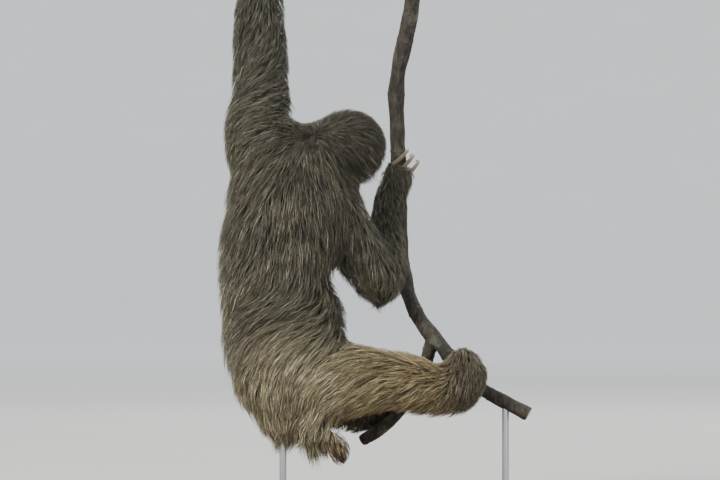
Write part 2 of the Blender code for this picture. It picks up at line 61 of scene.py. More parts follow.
# ---------------------------------------------------------------- skin
# The animal's hide is one unbroken surface. The CAD's flesh nodes give the outline at
# the tips of the coat, so the hide lies inside them by the depth of the coat.
COAT_DEPTH = {"trunk": 0.0165, "neck": 0.0130, "head": 0.0085, "tail": 0.0075}
for side in ("left", "right"):
    COAT_DEPTH |= {f"{side}_upper_arm": 0.0120, f"{side}_forearm": 0.0100,
                   f"{side}_hand": 0.0055, f"{side}_thigh": 0.0135,
                   f"{side}_shank": 0.0105, f"{side}_foot": 0.0060}
SEAM = 0.0012  # swelling that closes the parting cuts between the nodes
RUMP_LOW = 0.1012  # the rump's underside, where the stand's rod goes in
SKIN_VOXEL = 0.0037  # side of the cells that the skin's surface is drawn from


def linked(name, mesh):
    """A mesh as an object of the scene, unmoved."""
    made = bpy.data.objects.new(name, mesh)
    bpy.context.scene.collection.objects.link(made)
    return made


def settled(made):
    """The object with its modifiers worked into its mesh."""
    graph = bpy.context.evaluated_depsgraph_get()
    mesh = bpy.data.meshes.new_from_object(made.evaluated_get(graph))
    made.modifiers.clear()
    made.data = mesh
    return made


def numbers(items, field, width):
    """One field of a mesh's items as an array with a row for each item."""
    got = np.zeros(len(items) * width, np.float32)
    items.foreach_get(field, got)
    return got.reshape(-1, width).astype(float) if width > 1 else got.astype(float)


def keep(mesh, name, rows):
    """Store rows of three numbers on a mesh's points as a named vector attribute."""
    made = mesh.attributes.get(name) or mesh.attributes.new(name, "FLOAT_VECTOR", "POINT")
    made.data.foreach_set("vector", np.ascontiguousarray(rows, np.float32).ravel())


def nearest(surface, points, names=()):
    """The surface's nearest place to each point, and what it holds there.

    Returns the places, then each named vector attribute, blended across the face.
    """
    mesh = bpy.data.meshes.new("probe")
    mesh.vertices.add(len(points))
    mesh.vertices.foreach_set("co", np.ascontiguousarray(points, np.float32).ravel())
    probe = linked("probe", mesh)
    tree = bpy.data.node_groups.new("probe", "GeometryNodeTree")
    for way in ("INPUT", "OUTPUT"):
        tree.interface.new_socket("Geometry", in_out=way,
                                  socket_type="NodeSocketGeometry")
    source = tree.nodes.new("GeometryNodeObjectInfo")
    source.inputs["Object"].default_value = surface
    line = tree.nodes.new("NodeGroupInput").outputs[0]
    for name in ("place", *names):
        if name == "place":
            value = tree.nodes.new("GeometryNodeInputPosition").outputs[0]
        else:
            field = tree.nodes.new("GeometryNodeInputNamedAttribute")
            field.data_type = "FLOAT_VECTOR"
            field.inputs["Name"].default_value = name
            value = field.outputs["Attribute"]
        sample = tree.nodes.new("GeometryNodeSampleNearestSurface")
        sample.data_type = "FLOAT_VECTOR"
        tree.links.new(source.outputs["Geometry"], sample.inputs["Mesh"])
        tree.links.new(value, sample.inputs["Value"])
        store = tree.nodes.new("GeometryNodeStoreNamedAttribute")
        store.data_type = "FLOAT_VECTOR"
        store.inputs["Name"].default_value = "got_" + name
        tree.links.new(line, store.inputs["Geometry"])
        tree.links.new(sample.outputs["Value"], store.inputs["Value"])
        line = store.outputs["Geometry"]
    tree.links.new(line, tree.nodes.new("NodeGroupOutput").inputs[0])
    probe.modifiers.new("probe", "NODES").node_group = tree
    settled(probe)
    got = [numbers(probe.data.attributes["got_" + name].data, "vector", 3)
           for name in ("place", *names)]
    bpy.data.objects.remove(probe)
    bpy.data.node_groups.remove(tree)
    return got


def softened(rows, ends, rounds, share=0.5):
    """Each row moved by a share towards the mean of its neighbours, several times."""
    count = np.bincount(ends.ravel(), minlength=len(rows))[:, None]
    for _ in range(rounds):
        total = np.stack([np.bincount(ends[:, 0], column[ends[:, 1]], len(rows))
                          + np.bincount(ends[:, 1], column[ends[:, 0]], len(rows))
                          for column in rows.T], axis=1)
        rows = rows + share * (total / count - rows)
    return rows


def plug(name, flesh_name):
    """What fills a claw's socket in the flesh: the hull of the claw's corners that lie
    within 0.8 mm of the socket's wall, drawn 2 % inward."""
    place = numbers(nodes[name].data.vertices, "co", 3)
    solid = nodes[flesh_name]
    wall = nearest(solid, place)[0]
    centre = numbers(solid.data.vertices, "co", 3).mean(0)
    kept = place[np.linalg.norm(place - wall, axis=1) < 0.0008]
    mesh = bpy.data.meshes.new("corners")
    mesh.from_pydata((kept + (centre - kept) * 0.02).tolist(), [], [])
    pin = bmesh.new()
    pin.from_mesh(mesh)
    bmesh.ops.convex_hull(pin, input=pin.verts)
    mesh = bpy.data.meshes.new("plug")
    pin.to_mesh(mesh)
    pin.free()
    return mesh


def flesh_shell(depths, extra):
    """The flesh nodes welded and swollen over their cuts, each holding its depth."""
    joined = bmesh.new()
    flesh_nodes = [(nodes[name].data.copy(), depth) for name, depth in
                   (depths | dict.fromkeys(extra, depths["head"])).items()]
    fillings = [(plug(f"{end}_claw_{k}", end), depths[end])
                for end in ("left_hand", "right_hand", "left_foot", "right_foot")
                for k in (1, 2, 3)]
    rod = nodes["stand_rod_rump"].data.copy()
    place = numbers(rod.vertices, "co", 3)
    place[:, 2] = np.maximum(place[:, 2], RUMP_LOW)
    rod.vertices.foreach_set("co", place.astype(np.float32).ravel())
    for mesh, depth in (*flesh_nodes, *fillings, (rod, depths["trunk"])):
        keep(mesh, "coat", np.full((len(mesh.vertices), 3), depth))
        joined.from_mesh(mesh)
    bmesh.ops.remove_doubles(joined, verts=joined.verts, dist=1e-5)
    bmesh.ops.recalc_face_normals(joined, faces=joined.faces)
    mesh = bpy.data.meshes.new("flesh")
    joined.to_mesh(mesh)
    joined.free()
    place = numbers(mesh.vertices, "co", 3) + numbers(mesh.vertex_normals, "vector",
                                                      3) * SEAM
    mesh.vertices.foreach_set("co", place.astype(np.float32).ravel())
    mesh.update()
    return linked("flesh", mesh)


flesh = flesh_shell(COAT_DEPTH, ("left_eye", "right_eye", "nose"))
skin = linked("skin", flesh.data.copy())
remesh = skin.modifiers.new("whole", "REMESH")
remesh.mode = "VOXEL"
remesh.voxel_size = SKIN_VOXEL
settled(skin)

# The head's own directions: it is turned 35 degrees to its right and tipped down 8.
eyes = [sum(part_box(name), Vector()) / 2 for name in ("left_eye", "right_eye")]
nose_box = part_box("nose")
HEAD = np.array((-0.001, 0.032, 0.514))
TURN, TIP = math.radians(35), math.radians(-8)
AHEAD = np.array((math.sin(TURN) * math.cos(TIP), math.cos(TURN) * math.cos(TIP),
                  math.sin(TIP)))
RIGHT = np.cross(AHEAD, (0, 0, 1))
RIGHT /= np.linalg.norm(RIGHT)
UP = np.cross(RIGHT, AHEAD)


def in_head(points):
    """How far each point is to the head's right, ahead and above its centre."""
    away = points - HEAD
    return away @ RIGHT, away @ AHEAD, away @ UP


def fade(low, high, value):
    """0 below low, 1 above high, and a smooth step between."""
    share = np.clip((value - low) / (high - low), 0, 1)
    return share * share * (3 - 2 * share)


def near_head(points):
    """1 at the head, and 0 beyond its surface."""
    return 1 - fade(0.066, 0.078, np.linalg.norm(points - HEAD, axis=1))


def face_share(points):
    """1 on the flat face, fading to 0 behind its rim: the front of the head, in a
    circle round the bridge of the nose."""
    side, ahead, lift = in_head(points)
    rim = np.hypot(side, lift + 0.004)
    return fade(0.012, 0.026, ahead) * (1 - fade(0.034, 0.044, rim)) * near_head(points)


FACE_DEPTH = 0.0024  # the coat's depth on the face
SHALLOW = (
    # places where the hair starts and is short: place, reach, share of the coat's depth
    ((-0.051, -0.022, 0.534), 0.024, 0.35),
    ((-0.082, 0.000, 0.560), 0.024, 0.55),
    ((-0.082, 0.000, 0.620), 0.030, 0.65),
    ((-0.010, 0.010, 0.270), 0.030, 0.65),
    ((0.042, 0.030, 0.296), 0.028, 0.50),
    ((0.150, 0.000, 0.235), 0.022, 0.70),
)


def coat_depth(points, depth):
    """The coat's depth at points, from the CAD's own depth for the node there: thin on
    the face and where the hair starts."""
    bare = face_share(points)[:, None]
    depth = depth * (1 - bare) + FACE_DEPTH * bare
    for place, reach, share in SHALLOW:
        near = np.exp(-(np.linalg.norm(points - place, axis=1) / reach) ** 2)[:, None]
        depth = depth * (1 - near * (1 - share))
    return depth


def drawn_in(made, rounds=8):
    """Move the skin inward by the coat's depth in small even steps, kept smooth."""
    mesh = made.data
    place = numbers(mesh.vertices, "co", 3)
    ends = np.zeros(len(mesh.edges) * 2, np.int32)
    mesh.edges.foreach_get("vertices", ends)
    ends = ends.reshape(-1, 2)
    depth = softened(coat_depth(place, nearest(flesh, place, ("coat",))[1][:, :1]), ends, 25)
    for _ in range(rounds):
        inward = numbers(mesh.vertex_normals, "vector", 3) * (depth + SEAM)
        place = place - inward / rounds
        place = softened(place, ends, 1, 0.35)
        mesh.vertices.foreach_set("co", place.astype(np.float32).ravel())
        mesh.update()


drawn_in(skin)


def finer(made, wanted):
    """Halve the skin's edges where wanted, which takes points, is true at both ends."""
    chosen = wanted(numbers(made.data.vertices, "co", 3))
    ends = np.zeros(len(made.data.edges) * 2, np.int32)
    made.data.edges.foreach_get("vertices", ends)
    halved = np.flatnonzero(chosen[ends.reshape(-1, 2)].all(1))
    mesh = bmesh.new()
    mesh.from_mesh(made.data)
    mesh.edges.ensure_lookup_table()
    bmesh.ops.subdivide_edges(mesh, edges=[mesh.edges[k] for k in halved.tolist()], cuts=1,
                              use_grid_fill=True)
    bmesh.ops.triangulate(mesh, faces=[f for f in mesh.faces if len(f.verts) > 4])
    mesh.to_mesh(made.data)
    mesh.free()


finer(skin, lambda points: face_share(points) > 0.02)
finer(skin, lambda points: face_share(points) > 0.30)
finer(skin, lambda points: (in_head(points)[1] > 0.030) & (face_share(points) > 0.60)
      & (np.abs(in_head(points)[0]) < 0.032) & (in_head(points)[2] < 0.014))


def mouth_line(side):
    """The lift of the closed mouth: level under the nose and turned up at its corners."""
    return -0.0208 + 0.0105 * (np.abs(side) / 0.025) ** 1.7


def mound(value, centre, reach):
    """A smooth bump: 1 at centre and near 0 beyond twice its reach."""
    return np.exp(-((value - centre) / reach) ** 2)


def face_form(points):
    """How far the face's skin stands out of its plain form, in metres: brow, cheeks,
    lips and chin stand out, and the mouth is a groove that fades at its corners."""
    side, ahead, lift = in_head(points)
    width = np.abs(side)
    front = fade(0.018, 0.034, ahead)
    brow = 0.0013 * mound(width, 0.018, 0.009) * mound(lift, 0.0135, 0.0045)
    bridge = 0.0011 * mound(width, 0, 0.007) * mound(lift, 0.004, 0.010)
    cheek = 0.0018 * mound(width, 0.029, 0.009) * mound(lift, -0.013, 0.010)
    from_mouth = lift - mouth_line(side)
    reach = 1 - fade(0.021, 0.026, width)
    lips = 0.0010 * reach * (mound(from_mouth, 0.0030, 0.0022)
                             + mound(from_mouth, -0.0028, 0.0020))
    groove = -0.0017 * reach * mound(from_mouth, 0, 0.0008)
    corner = -0.0012 * mound(width, 0.0255, 0.0022) * mound(from_mouth, 0, 0.0022)
    furrow = 0.00022 * np.sin(lift * 2600 + 9 * side) * mound(lift, 0.017, 0.006)
    return front * (brow + bridge + cheek + lips + groove + corner + furrow)


EYE_RADIUS = 0.0062  # an eyeball's, as in the CAD
LID = 0.0008  # thickness of an eyelid
OPENING = (0.0049, 0.0038)  # half width and half height of the open eye


def in_eye(points, side):
    """How far points are across, above and out from the eye's centre on that side, and
    the way that the eye looks."""
    gaze = RIGHT * 0.0074 * side + AHEAD * 0.1 + UP * 0.002
    gaze /= np.linalg.norm(gaze)
    across = np.cross(gaze, UP)
    across /= np.linalg.norm(across)
    above = np.cross(across, gaze)
    away = points - np.array(eyes[0] if side < 0 else eyes[1])
    return away @ across, away @ above, away @ gaze, gaze


def sculpt_face(made):
    """Raise the face's forms, then wrap a lid round each eyeball.

    A lid is the smooth maximum of the face and a ball one lid wider than the eye. It
    falls away inside the opening, and a crease runs round it a little outside.
    """
    mesh = made.data
    place = numbers(mesh.vertices, "co", 3)
    place += numbers(mesh.vertex_normals, "vector", 3) * face_form(place)[:, None]
    ball = EYE_RADIUS + LID
    for side in (-1, 1):
        across, above, out, gaze = in_eye(place, side)
        aside = np.hypot(across, above)
        near = (aside < 0.016) & (out > -0.006)
        dome = np.sqrt(np.maximum(ball**2 - aside**2, 1e-8))
        blend = 0.0012
        gap = np.clip((dome - out) / blend, -30, 30)
        raised = out + blend * np.log1p(np.exp(gap)) - blend * math.log(2) * np.exp(
            -gap**2)
        raised = np.where(aside < ball, raised, out + (raised - out) * 0.6)
        slant = across * 0.10 * side  # the outer corner sits a little lower
        open_at = np.hypot(across / OPENING[0], (above + slant) / OPENING[1])
        crease = 0.0004 * mound(open_at, 1.62, 0.10) * fade(-0.002, 0.001, above)
        inside = 0.0034 * (1 - fade(0.93, 1.05, open_at))
        place += np.where(near, raised - out - crease - inside, 0)[:, None] * gaze
    mesh.vertices.foreach_set("co", place.astype(np.float32).ravel())
    mesh.update()


sculpt_face(skin)
skin.data.shade_smooth()


# The markings are the skin's and the coat's alike: soft patches of colour at places on the
# body,
# laid over a grey brown, each fading out over its reach. Some patches are partly painted
# light:
# the pale low back, rump, right leg and left flank edge hold painted sunlight, and the darker
# head and nape hold painted shade.
PLAIN = (0.126, 0.113, 0.083)
PATCHES = (
    # place, reach in x, y and z, colour, strength
    # partly painted sunlight: the low back and rump, paler buff than the coat's own colour
    ((-0.075, -0.010, 0.180), (0.125, 0.120, 0.095), (0.440, 0.378, 0.258), 0.85),
    # partly painted sunlight: the right leg, paler and warmer than the coat's own colour
    ((0.075, -0.010, 0.185), (0.110, 0.080, 0.070), (0.320, 0.246, 0.136), 0.90),
    # partly painted sunlight: a pale strip down the left flank's edge
    ((-0.165, 0.000, 0.270), (0.045, 0.090, 0.120), (0.260, 0.232, 0.168), 0.50),
    ((-0.110, 0.090, 0.320), (0.100, 0.060, 0.170), (0.240, 0.215, 0.160), 0.60),
    ((-0.127, 0.000, 0.700), (0.070, 0.070, 0.190), (0.092, 0.086, 0.066), 0.85),
    # partly painted shade: the head darker than the coat's own colour
    ((0.000, 0.020, 0.520), (0.062, 0.060, 0.058), (0.068, 0.060, 0.046), 0.90),
    # painted shade: the nape and shoulder darkened where the key light falls brightest
    ((-0.070, -0.020, 0.500), (0.055, 0.080, 0.050), (0.088, 0.079, 0.059), 0.70),
    ((-0.050, -0.028, 0.532), (0.022, 0.022, 0.017), (0.048, 0.042, 0.032), 0.75),
    ((-0.022, -0.013, 0.096), (0.030, 0.030, 0.026), (0.190, 0.135, 0.082), 0.85),
    ((0.165, 0.010, 0.195), (0.034, 0.060, 0.046), (0.125, 0.108, 0.080), 0.90),
    ((0.060, 0.080, 0.390), (0.070, 0.110, 0.110), (0.110, 0.100, 0.074), 0.80),
)
FACE_PALE = (0.420, 0.335, 0.222)
FACE_DARK = (0.052, 0.034, 0.023)
THROAT = (0.125, 0.078, 0.046)


def laid(colour, over, share):
    """A colour laid over others by a share for each row."""
    share = np.clip(share, 0, 1)[:, None]
    return over * (1 - share) + np.array(colour) * share


def coat_colour(points):
    """The coat's colour at each point: plain, then the body's patches, then the face's
    pale disc, dark eye stripes, brown throat and dark muzzle."""
    colour = np.tile(np.array(PLAIN), (len(points), 1))
    for place, reach, patch, strength in PATCHES:
        away = np.linalg.norm((points - place) / reach, axis=1)
        colour = laid(patch, colour, strength * (1 - fade(0.45, 1.25, away)))
    side, ahead, lift = in_head(points)
    width = np.abs(side)
    body = colour
    face = fade(0.016, 0.027, ahead) * (1 - fade(0.033, 0.042, np.hypot(side, lift + 0.004)))
    colour = laid(FACE_PALE, colour, 0.95 * face)
    chin = fade(0.002, 0.016, ahead) * (1 - fade(-0.036, -0.024, lift))
    colour = laid(THROAT, colour, 0.9 * chin)
    fringe = fade(0.010, 0.022, ahead) * mound(lift, 0.037, 0.009) * (width < 0.040)
    colour = laid((0.070, 0.050, 0.036), colour, 0.75 * fringe)
    stripe_at = 0.0045 - 0.30 * np.maximum(width - 0.014, 0)
    stripe = (mound(lift, stripe_at, 0.0080) * fade(0.009, 0.015, width)
              * (1 - fade(0.040, 0.050, width)) * fade(0.004, 0.016, ahead))
    colour = laid(FACE_DARK, colour, 1.35 * stripe)
    for sign in (-1, 1):
        across, above, out, _ = in_eye(points, sign)
        ring = np.hypot(across / OPENING[0], above / OPENING[1])
        colour = laid((0.050, 0.036, 0.028), colour, 0.9 * (1 - fade(1.25, 1.75, ring)) * (
            out > 0))
    muzzle = (1 - fade(0.010, 0.017, np.hypot(side, 1.15 * (lift + 0.012)))) * fade(
        0.045, 0.055, ahead)
    colour = laid((0.060, 0.044, 0.034), colour, 0.85 * muzzle)
    head = near_head(points)[:, None]
    return body * (1 - head) + colour * head


def shader_of(name, slot_colour, roughness):
    """A material with its own Principled shader, whose plain values sit on its sockets.
    Returns the material, its tree and the shader."""
    made = bpy.data.materials.new(name)
    made.use_nodes = True
    made.diffuse_color = (*slot_colour, 1)
    shader = made.node_tree.nodes["Principled BSDF"]
    shader.inputs["Base Color"].default_value = (*slot_colour, 1)
    shader.inputs["Roughness"].default_value = roughness
    return made, made.node_tree, shader


def noise(tree, place, scale, detail=3.0, rough=0.55):
    """The value of a noise texture at a place in the material."""
    made = tree.nodes.new("ShaderNodeTexNoise")
    made.inputs["Scale"].default_value = scale
    made.inputs["Detail"].default_value = detail
    made.inputs["Roughness"].default_value = rough
    tree.links.new(place, made.inputs["Vector"])
    return made.outputs["Fac"]


def spread(tree, value, low, high, start=0.0, end=1.0):
    """A value's range from start to end turned into the range from low to high."""
    made = tree.nodes.new("ShaderNodeMapRange")
    for name, number in (("From Min", start), ("From Max", end), ("To Min", low),
                         ("To Max", high)):
        made.inputs[name].default_value = number
    tree.links.new(value, made.inputs["Value"])
    return made.outputs["Result"]


def mixed(tree, share, first, second, blend="MIX"):
    """Two colours mixed by a share. A colour or a share may be a socket or a value."""
    made = tree.nodes.new("ShaderNodeMix")
    made.data_type = "RGBA"
    made.blend_type = blend
    for socket, given in ((made.inputs[0], share), (made.inputs[6], first),
                          (made.inputs[7], second)):
        if isinstance(given, bpy.types.NodeSocket):
            tree.links.new(given, socket)
        else:
            socket.default_value = (*given, 1) if isinstance(given, tuple) else given
    return made.outputs[2]


def bumped(tree, shader, height, distance, strength=1.0):
    """Give the shader a normal from a height."""
    made = tree.nodes.new("ShaderNodeBump")
    made.inputs["Distance"].default_value = distance
    made.inputs["Strength"].default_value = strength
    tree.links.new(height, made.inputs["Height"])
    tree.links.new(made.outputs["Normal"], shader.inputs["Normal"])


def object_place(tree, stretch=(1, 1, 1)):
    """Object coordinates, stretched along the axes."""
    place = tree.nodes.new("ShaderNodeTexCoord").outputs["Object"]
    if stretch == (1, 1, 1):
        return place
    turn = tree.nodes.new("ShaderNodeMapping")
    turn.inputs["Scale"].default_value = stretch
    tree.links.new(place, turn.inputs["Vector"])
    return turn.outputs["Vector"]


def held_colour(tree):
    """The coat's colour as the piece's own attribute holds it."""
    made = tree.nodes.new("ShaderNodeAttribute")
    made.attribute_name = "coat_colour"
    return made.outputs["Color"]


def weathered_coat():
    """The coat's colour, as a group for the hide and the hair alike: the colour that the
    mesh holds, greened in patches by algae and flecked lighter and darker."""
    group = bpy.data.node_groups.new("weathered_coat", "ShaderNodeTree")
    for name in ("Fleck Scale", "Darkest", "Lightest"):
        group.interface.new_socket(name, in_out="INPUT", socket_type="NodeSocketFloat")
    group.interface.new_socket("Color", in_out="OUTPUT", socket_type="NodeSocketColor")
    given = group.nodes.new("NodeGroupInput")
    place = object_place(group)
    greened = mixed(group, spread(group, noise(group, place, 34, 5), 0, 0.5, 0.42, 0.72),
                    held_colour(group), (1.12, 1.26, 1.00), "MULTIPLY")
    flecks = noise(group, place, 1.0, 2)
    group.links.new(given.outputs["Fleck Scale"], flecks.node.inputs["Scale"])
    shade = spread(group, flecks, 0, 1)
    group.links.new(given.outputs["Darkest"], shade.node.inputs["To Min"])
    group.links.new(given.outputs["Lightest"], shade.node.inputs["To Max"])
    out = mixed(group, 1.0, greened, shade, "MULTIPLY")
    group.links.new(out, group.nodes.new("NodeGroupOutput").inputs["Color"])
    return group


WEATHERED = weathered_coat()


def coat_look(tree, fleck_scale, darkest, lightest):
    """The weathered coat's colour in a material, with its own flecks."""
    made = tree.nodes.new("ShaderNodeGroup")
    made.node_tree = WEATHERED
    for name, number in (("Fleck Scale", fleck_scale), ("Darkest", darkest),
                         ("Lightest", lightest)):
        made.inputs[name].default_value = number
    return made.outputs["Color"]


hide, tree, shader = shader_of("hide", PLAIN, 0.75)
tree.links.new(coat_look(tree, 260, 0.55, 1.15), shader.inputs["Base Color"])
bumped(tree, shader, noise(tree, object_place(tree, (900, 900, 260)), 1.0, 4), 0.0006)
skin.data.materials.clear()
skin.data.materials.append(hide)
# Painted shade: under the hair the hide is darkened to about a third of the coat's colour,
# for the shadow between the strands, and less on the bare face.
PAINTED_SHADE_UNDER_COAT = 0.34  # the hide's shade under the hair
shown = coat_colour(numbers(skin.data.vertices, "co", 3))
bare = face_share(numbers(skin.data.vertices, "co", 3))[:, None]
shown *= PAINTED_SHADE_UNDER_COAT + (0.80 - PAINTED_SHADE_UNDER_COAT) * bare
colours = skin.data.color_attributes.new("coat_colour", "FLOAT_COLOR", "POINT")
colours.data.foreach_set("color", np.hstack([shown, np.ones((len(shown), 1))]).astype(
    np.float32).ravel())
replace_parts(skin, *COAT_DEPTH)
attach(skin, "root")

# ---------------------------------------------------------------- coat
# Long coarse hair, grey brown and shaggy. It grows in locks of a few strands, which rise
# from the skin and lie over one another. Each strand is a thin closed solid.
LIES = (
    # place, the way the hair lies there, reach
    ((-0.127, 0.000, 0.830), (0.00, 0.00, -1.00), 0.060),
    ((-0.125, -0.035, 0.740), (-0.15, 0.00, -1.00), 0.040),
    ((-0.125, 0.035, 0.730), (0.10, 0.00, -1.00), 0.050),
    ((-0.091, -0.030, 0.700), (-0.40, -0.10, -1.00), 0.026),
    ((-0.126, -0.040, 0.700), (-0.30, 0.00, -1.00), 0.026),
    ((-0.160, -0.030, 0.700), (-0.05, 0.00, -1.00), 0.026),
    ((-0.088, -0.020, 0.655), (-0.50, -0.45, -0.90), 0.024),
    ((-0.126, -0.040, 0.660), (-0.60, 0.00, -0.95), 0.024),
    ((-0.162, -0.030, 0.655), (-0.10, 0.00, -1.00), 0.024),
    ((-0.086, -0.020, 0.615), (-0.60, -0.80, -0.35), 0.024),
    ((-0.122, -0.040, 0.620), (-1.00, 0.00, -0.55), 0.024),
    ((-0.160, -0.030, 0.615), (-0.30, 0.00, -1.00), 0.024),
    ((-0.088, -0.020, 0.580), (-0.60, -0.90, -0.10), 0.024),
    ((-0.118, -0.045, 0.583), (-1.00, 0.00, -0.25), 0.024),
    ((-0.076, -0.035, 0.540), (-1.00, -0.30, -0.25), 0.018),
    ((-0.150, -0.040, 0.585), (-0.90, 0.00, -0.55), 0.022),
    ((-0.175, -0.020, 0.580), (-0.35, 0.00, -1.00), 0.024),
    ((-0.098, -0.050, 0.548), (-1.00, -0.20, -0.20), 0.024),
    ((-0.130, -0.055, 0.550), (-1.00, 0.00, -0.42), 0.024),
    ((-0.162, -0.045, 0.545), (-0.85, 0.00, -0.75), 0.024),
    ((-0.180, -0.010, 0.530), (-0.30, 0.00, -1.00), 0.028),
    ((-0.105, -0.065, 0.512), (-1.00, 0.00, -0.60), 0.024),
    ((-0.145, -0.060, 0.510), (-0.85, 0.00, -0.80), 0.026),
    ((-0.125, 0.055, 0.600), (0.70, 0.00, -0.80), 0.040),
    ((-0.165, -0.020, 0.480), (-0.35, 0.00, -0.95), 0.040),
    ((-0.110, -0.075, 0.475), (-0.65, 0.00, -0.85), 0.028),
    ((-0.060, -0.070, 0.470), (-0.12, 0.00, -1.00), 0.030),
    ((-0.065, -0.075, 0.430), (-0.08, 0.00, -1.00), 0.040),
    ((-0.020, -0.040, 0.450), (0.20, 0.00, -1.00), 0.035),
    ((-0.070, -0.080, 0.390), (-0.05, 0.00, -1.00), 0.050),
    ((-0.130, -0.075, 0.390), (-0.30, 0.00, -0.95), 0.050),
    ((-0.175, -0.010, 0.370), (-0.15, 0.10, -1.00), 0.060),
    ((-0.080, -0.085, 0.330), (-0.35, 0.00, -0.85), 0.035),
    ((-0.070, -0.085, 0.285), (-0.95, 0.00, -0.30), 0.038),
    ((-0.120, -0.080, 0.280), (-0.95, 0.00, -0.35), 0.040),
    ((-0.035, -0.070, 0.250), (-0.90, 0.00, -0.30), 0.035),
    ((-0.165, -0.030, 0.250), (-0.50, 0.20, -0.80), 0.045),
    ((-0.120, -0.070, 0.215), (-0.45, 0.00, -0.90), 0.035),
    ((-0.090, -0.060, 0.165), (0.00, 0.00, -1.00), 0.040),
    ((-0.020, 0.000, 0.305), (0.00, -0.75, -0.60), 0.035),
    ((-0.006, 0.010, 0.265), (-0.15, -0.95, -0.30), 0.035),
    ((-0.030, -0.060, 0.285), (-0.95, 0.00, -0.30), 0.030),
    ((-0.020, 0.020, 0.370), (0.00, -0.50, -0.85), 0.040),
    ((-0.040, -0.060, 0.200), (-0.75, 0.00, -0.60), 0.035),
    ((0.010, -0.060, 0.190), (-0.85, 0.00, -0.45), 0.035),
    ((0.060, -0.060, 0.205), (-1.00, 0.00, -0.18), 0.035),
    ((0.115, -0.050, 0.200), (-1.00, 0.00, -0.12), 0.035),
    ((0.080, -0.030, 0.145), (-0.75, 0.00, -0.65), 0.030),
    ((0.020, -0.030, 0.135), (-0.60, 0.00, -0.80), 0.030),
    ((0.165, -0.010, 0.205), (-0.15, 0.00, -1.00), 0.030),
    ((0.060, 0.030, 0.200), (-0.90, 0.00, -0.50), 0.050),
    ((0.152, 0.000, 0.235), (0.25, -0.60, -0.60), 0.022),
    ((-0.018, -0.010, 0.084), (0.45, 0.00, -0.90), 0.018),
    ((-0.066, -0.030, 0.125), (-0.40, 0.00, -1.00), 0.022),
    ((-0.100, 0.090, 0.300), (0.00, 0.00, -1.00), 0.090),
    ((-0.080, 0.080, 0.450), (0.10, 0.20, -1.00), 0.060),
    ((-0.050, 0.130, 0.170), (-0.30, -0.20, -0.90), 0.070),
    ((0.000, 0.040, 0.400), (0.25, 0.00, -1.00), 0.045),
    ((0.048, 0.080, 0.360), (0.00, -0.30, -1.00), 0.050),
)
WHORL = np.array((-0.053, -0.034, 0.529))  # at the nape, where the head's hair parts
NOSE_TIP = (np.array(nose_box[0]) + np.array(nose_box[1])) / 2


def lie_at(points):
    """The way the hair lies, before it is laid flat on the skin.

    A mean of the lies given at places, each weighing exp(-(distance / reach)^2), over a
    faint hang straight down. On the head it runs away from the whorl at the nape and
    down, and on the face it runs back from the nose.
    """
    total = np.zeros((len(points), 3)) + (0, 0, -0.004)
    for place, way, reach in LIES:
        away = np.linalg.norm(points - place, axis=1)[:, None]
        total += np.exp(-(away / reach) ** 2) * np.array(way)
    side, ahead, lift = in_head(points)
    round_head = np.linalg.norm((points - HEAD) / 0.062, axis=1)
    on_head = (1 - fade(0.85, 1.25, round_head))[:, None]
    from_whorl = points - WHORL
    from_whorl /= np.linalg.norm(from_whorl, axis=1)[:, None] + 1e-9
    near_whorl = np.exp(-(np.linalg.norm(points - WHORL, axis=1) / 0.034) ** 2)[:, None]
    crown = from_whorl + (0, 0, -0.62) + AHEAD * 0.1
    total = total / (np.linalg.norm(total, axis=1)[:, None] + 1e-9)
    share = np.maximum(on_head, near_whorl)
    total = total * (1 - share) + crown * share
    bare = face_share(points)[:, None]
    back = points - NOSE_TIP
    back /= np.linalg.norm(back, axis=1)[:, None] + 1e-9
    total = total * (1 - bare) + (back + (0, 0, -0.15)) * bare
    return total / (np.linalg.norm(total, axis=1)[:, None] + 1e-9)


def unit(rows):
    """Rows scaled to a length of one."""
    return rows / (np.linalg.norm(rows, axis=-1, keepdims=True) + 1e-12)


def laid_flat(ways, outward):
    """Directions with what points out of the surface taken off them."""
    return unit(ways - outward * np.sum(ways * outward, axis=-1, keepdims=True))


# The skin's own unwrap gives each strand its patch, so the two agree on where a place is.
for made in bpy.context.selected_objects:
    made.select_set(False)
bpy.context.view_layer.objects.active = skin
skin.select_set(True)
skin.data.uv_layers.new(name="OFBake")
bpy.ops.object.mode_set(mode="EDIT")
bpy.ops.mesh.select_all(action="SELECT")
bpy.ops.uv.smart_project(angle_limit=math.radians(66), island_margin=0.002)
bpy.ops.object.mode_set(mode="OBJECT")
ends = np.zeros(len(skin.data.edges) * 2, np.int32)
skin.data.edges.foreach_get("vertices", ends)
skin_place = numbers(skin.data.vertices, "co", 3)
coat_here = softened(coat_depth(skin_place, nearest(flesh, skin_place, ("coat",))[1][:, :1]),
                     ends.reshape(-1, 2), 25)
skin_outward = numbers(skin.data.vertex_normals, "vector", 3)
skin_outward = unit(softened(skin_outward, ends.reshape(-1, 2), 4))
keep(skin.data, "outward", skin_outward)
keep(skin.data, "coat", np.repeat(coat_here, 3, 1))

corners = np.zeros(len(skin.data.loops), np.int32)
skin.data.loops.foreach_get("vertex_index", corners)
skin.data.calc_loop_triangles()
corner_of = numbers(skin.data.loop_triangles, "loops", 3).astype(int)
patch_uv = numbers(skin.data.uv_layers["OFBake"].data, "uv", 2)
a, b, c = (skin_place[corners[corner_of[:, k]]] for k in range(3))
skin_middle, skin_area = (a + b + c) / 3, np.linalg.norm(np.cross(b - a, c - a), axis=1) / 2


def length_at(depth):
    """The hair's length for a coat of that depth."""
    return 0.0035 + 3.0 * depth


def half_width_at(depth):
    """Half the width of a strand for a coat of that depth."""
    return 0.00020 + 0.0175 * depth


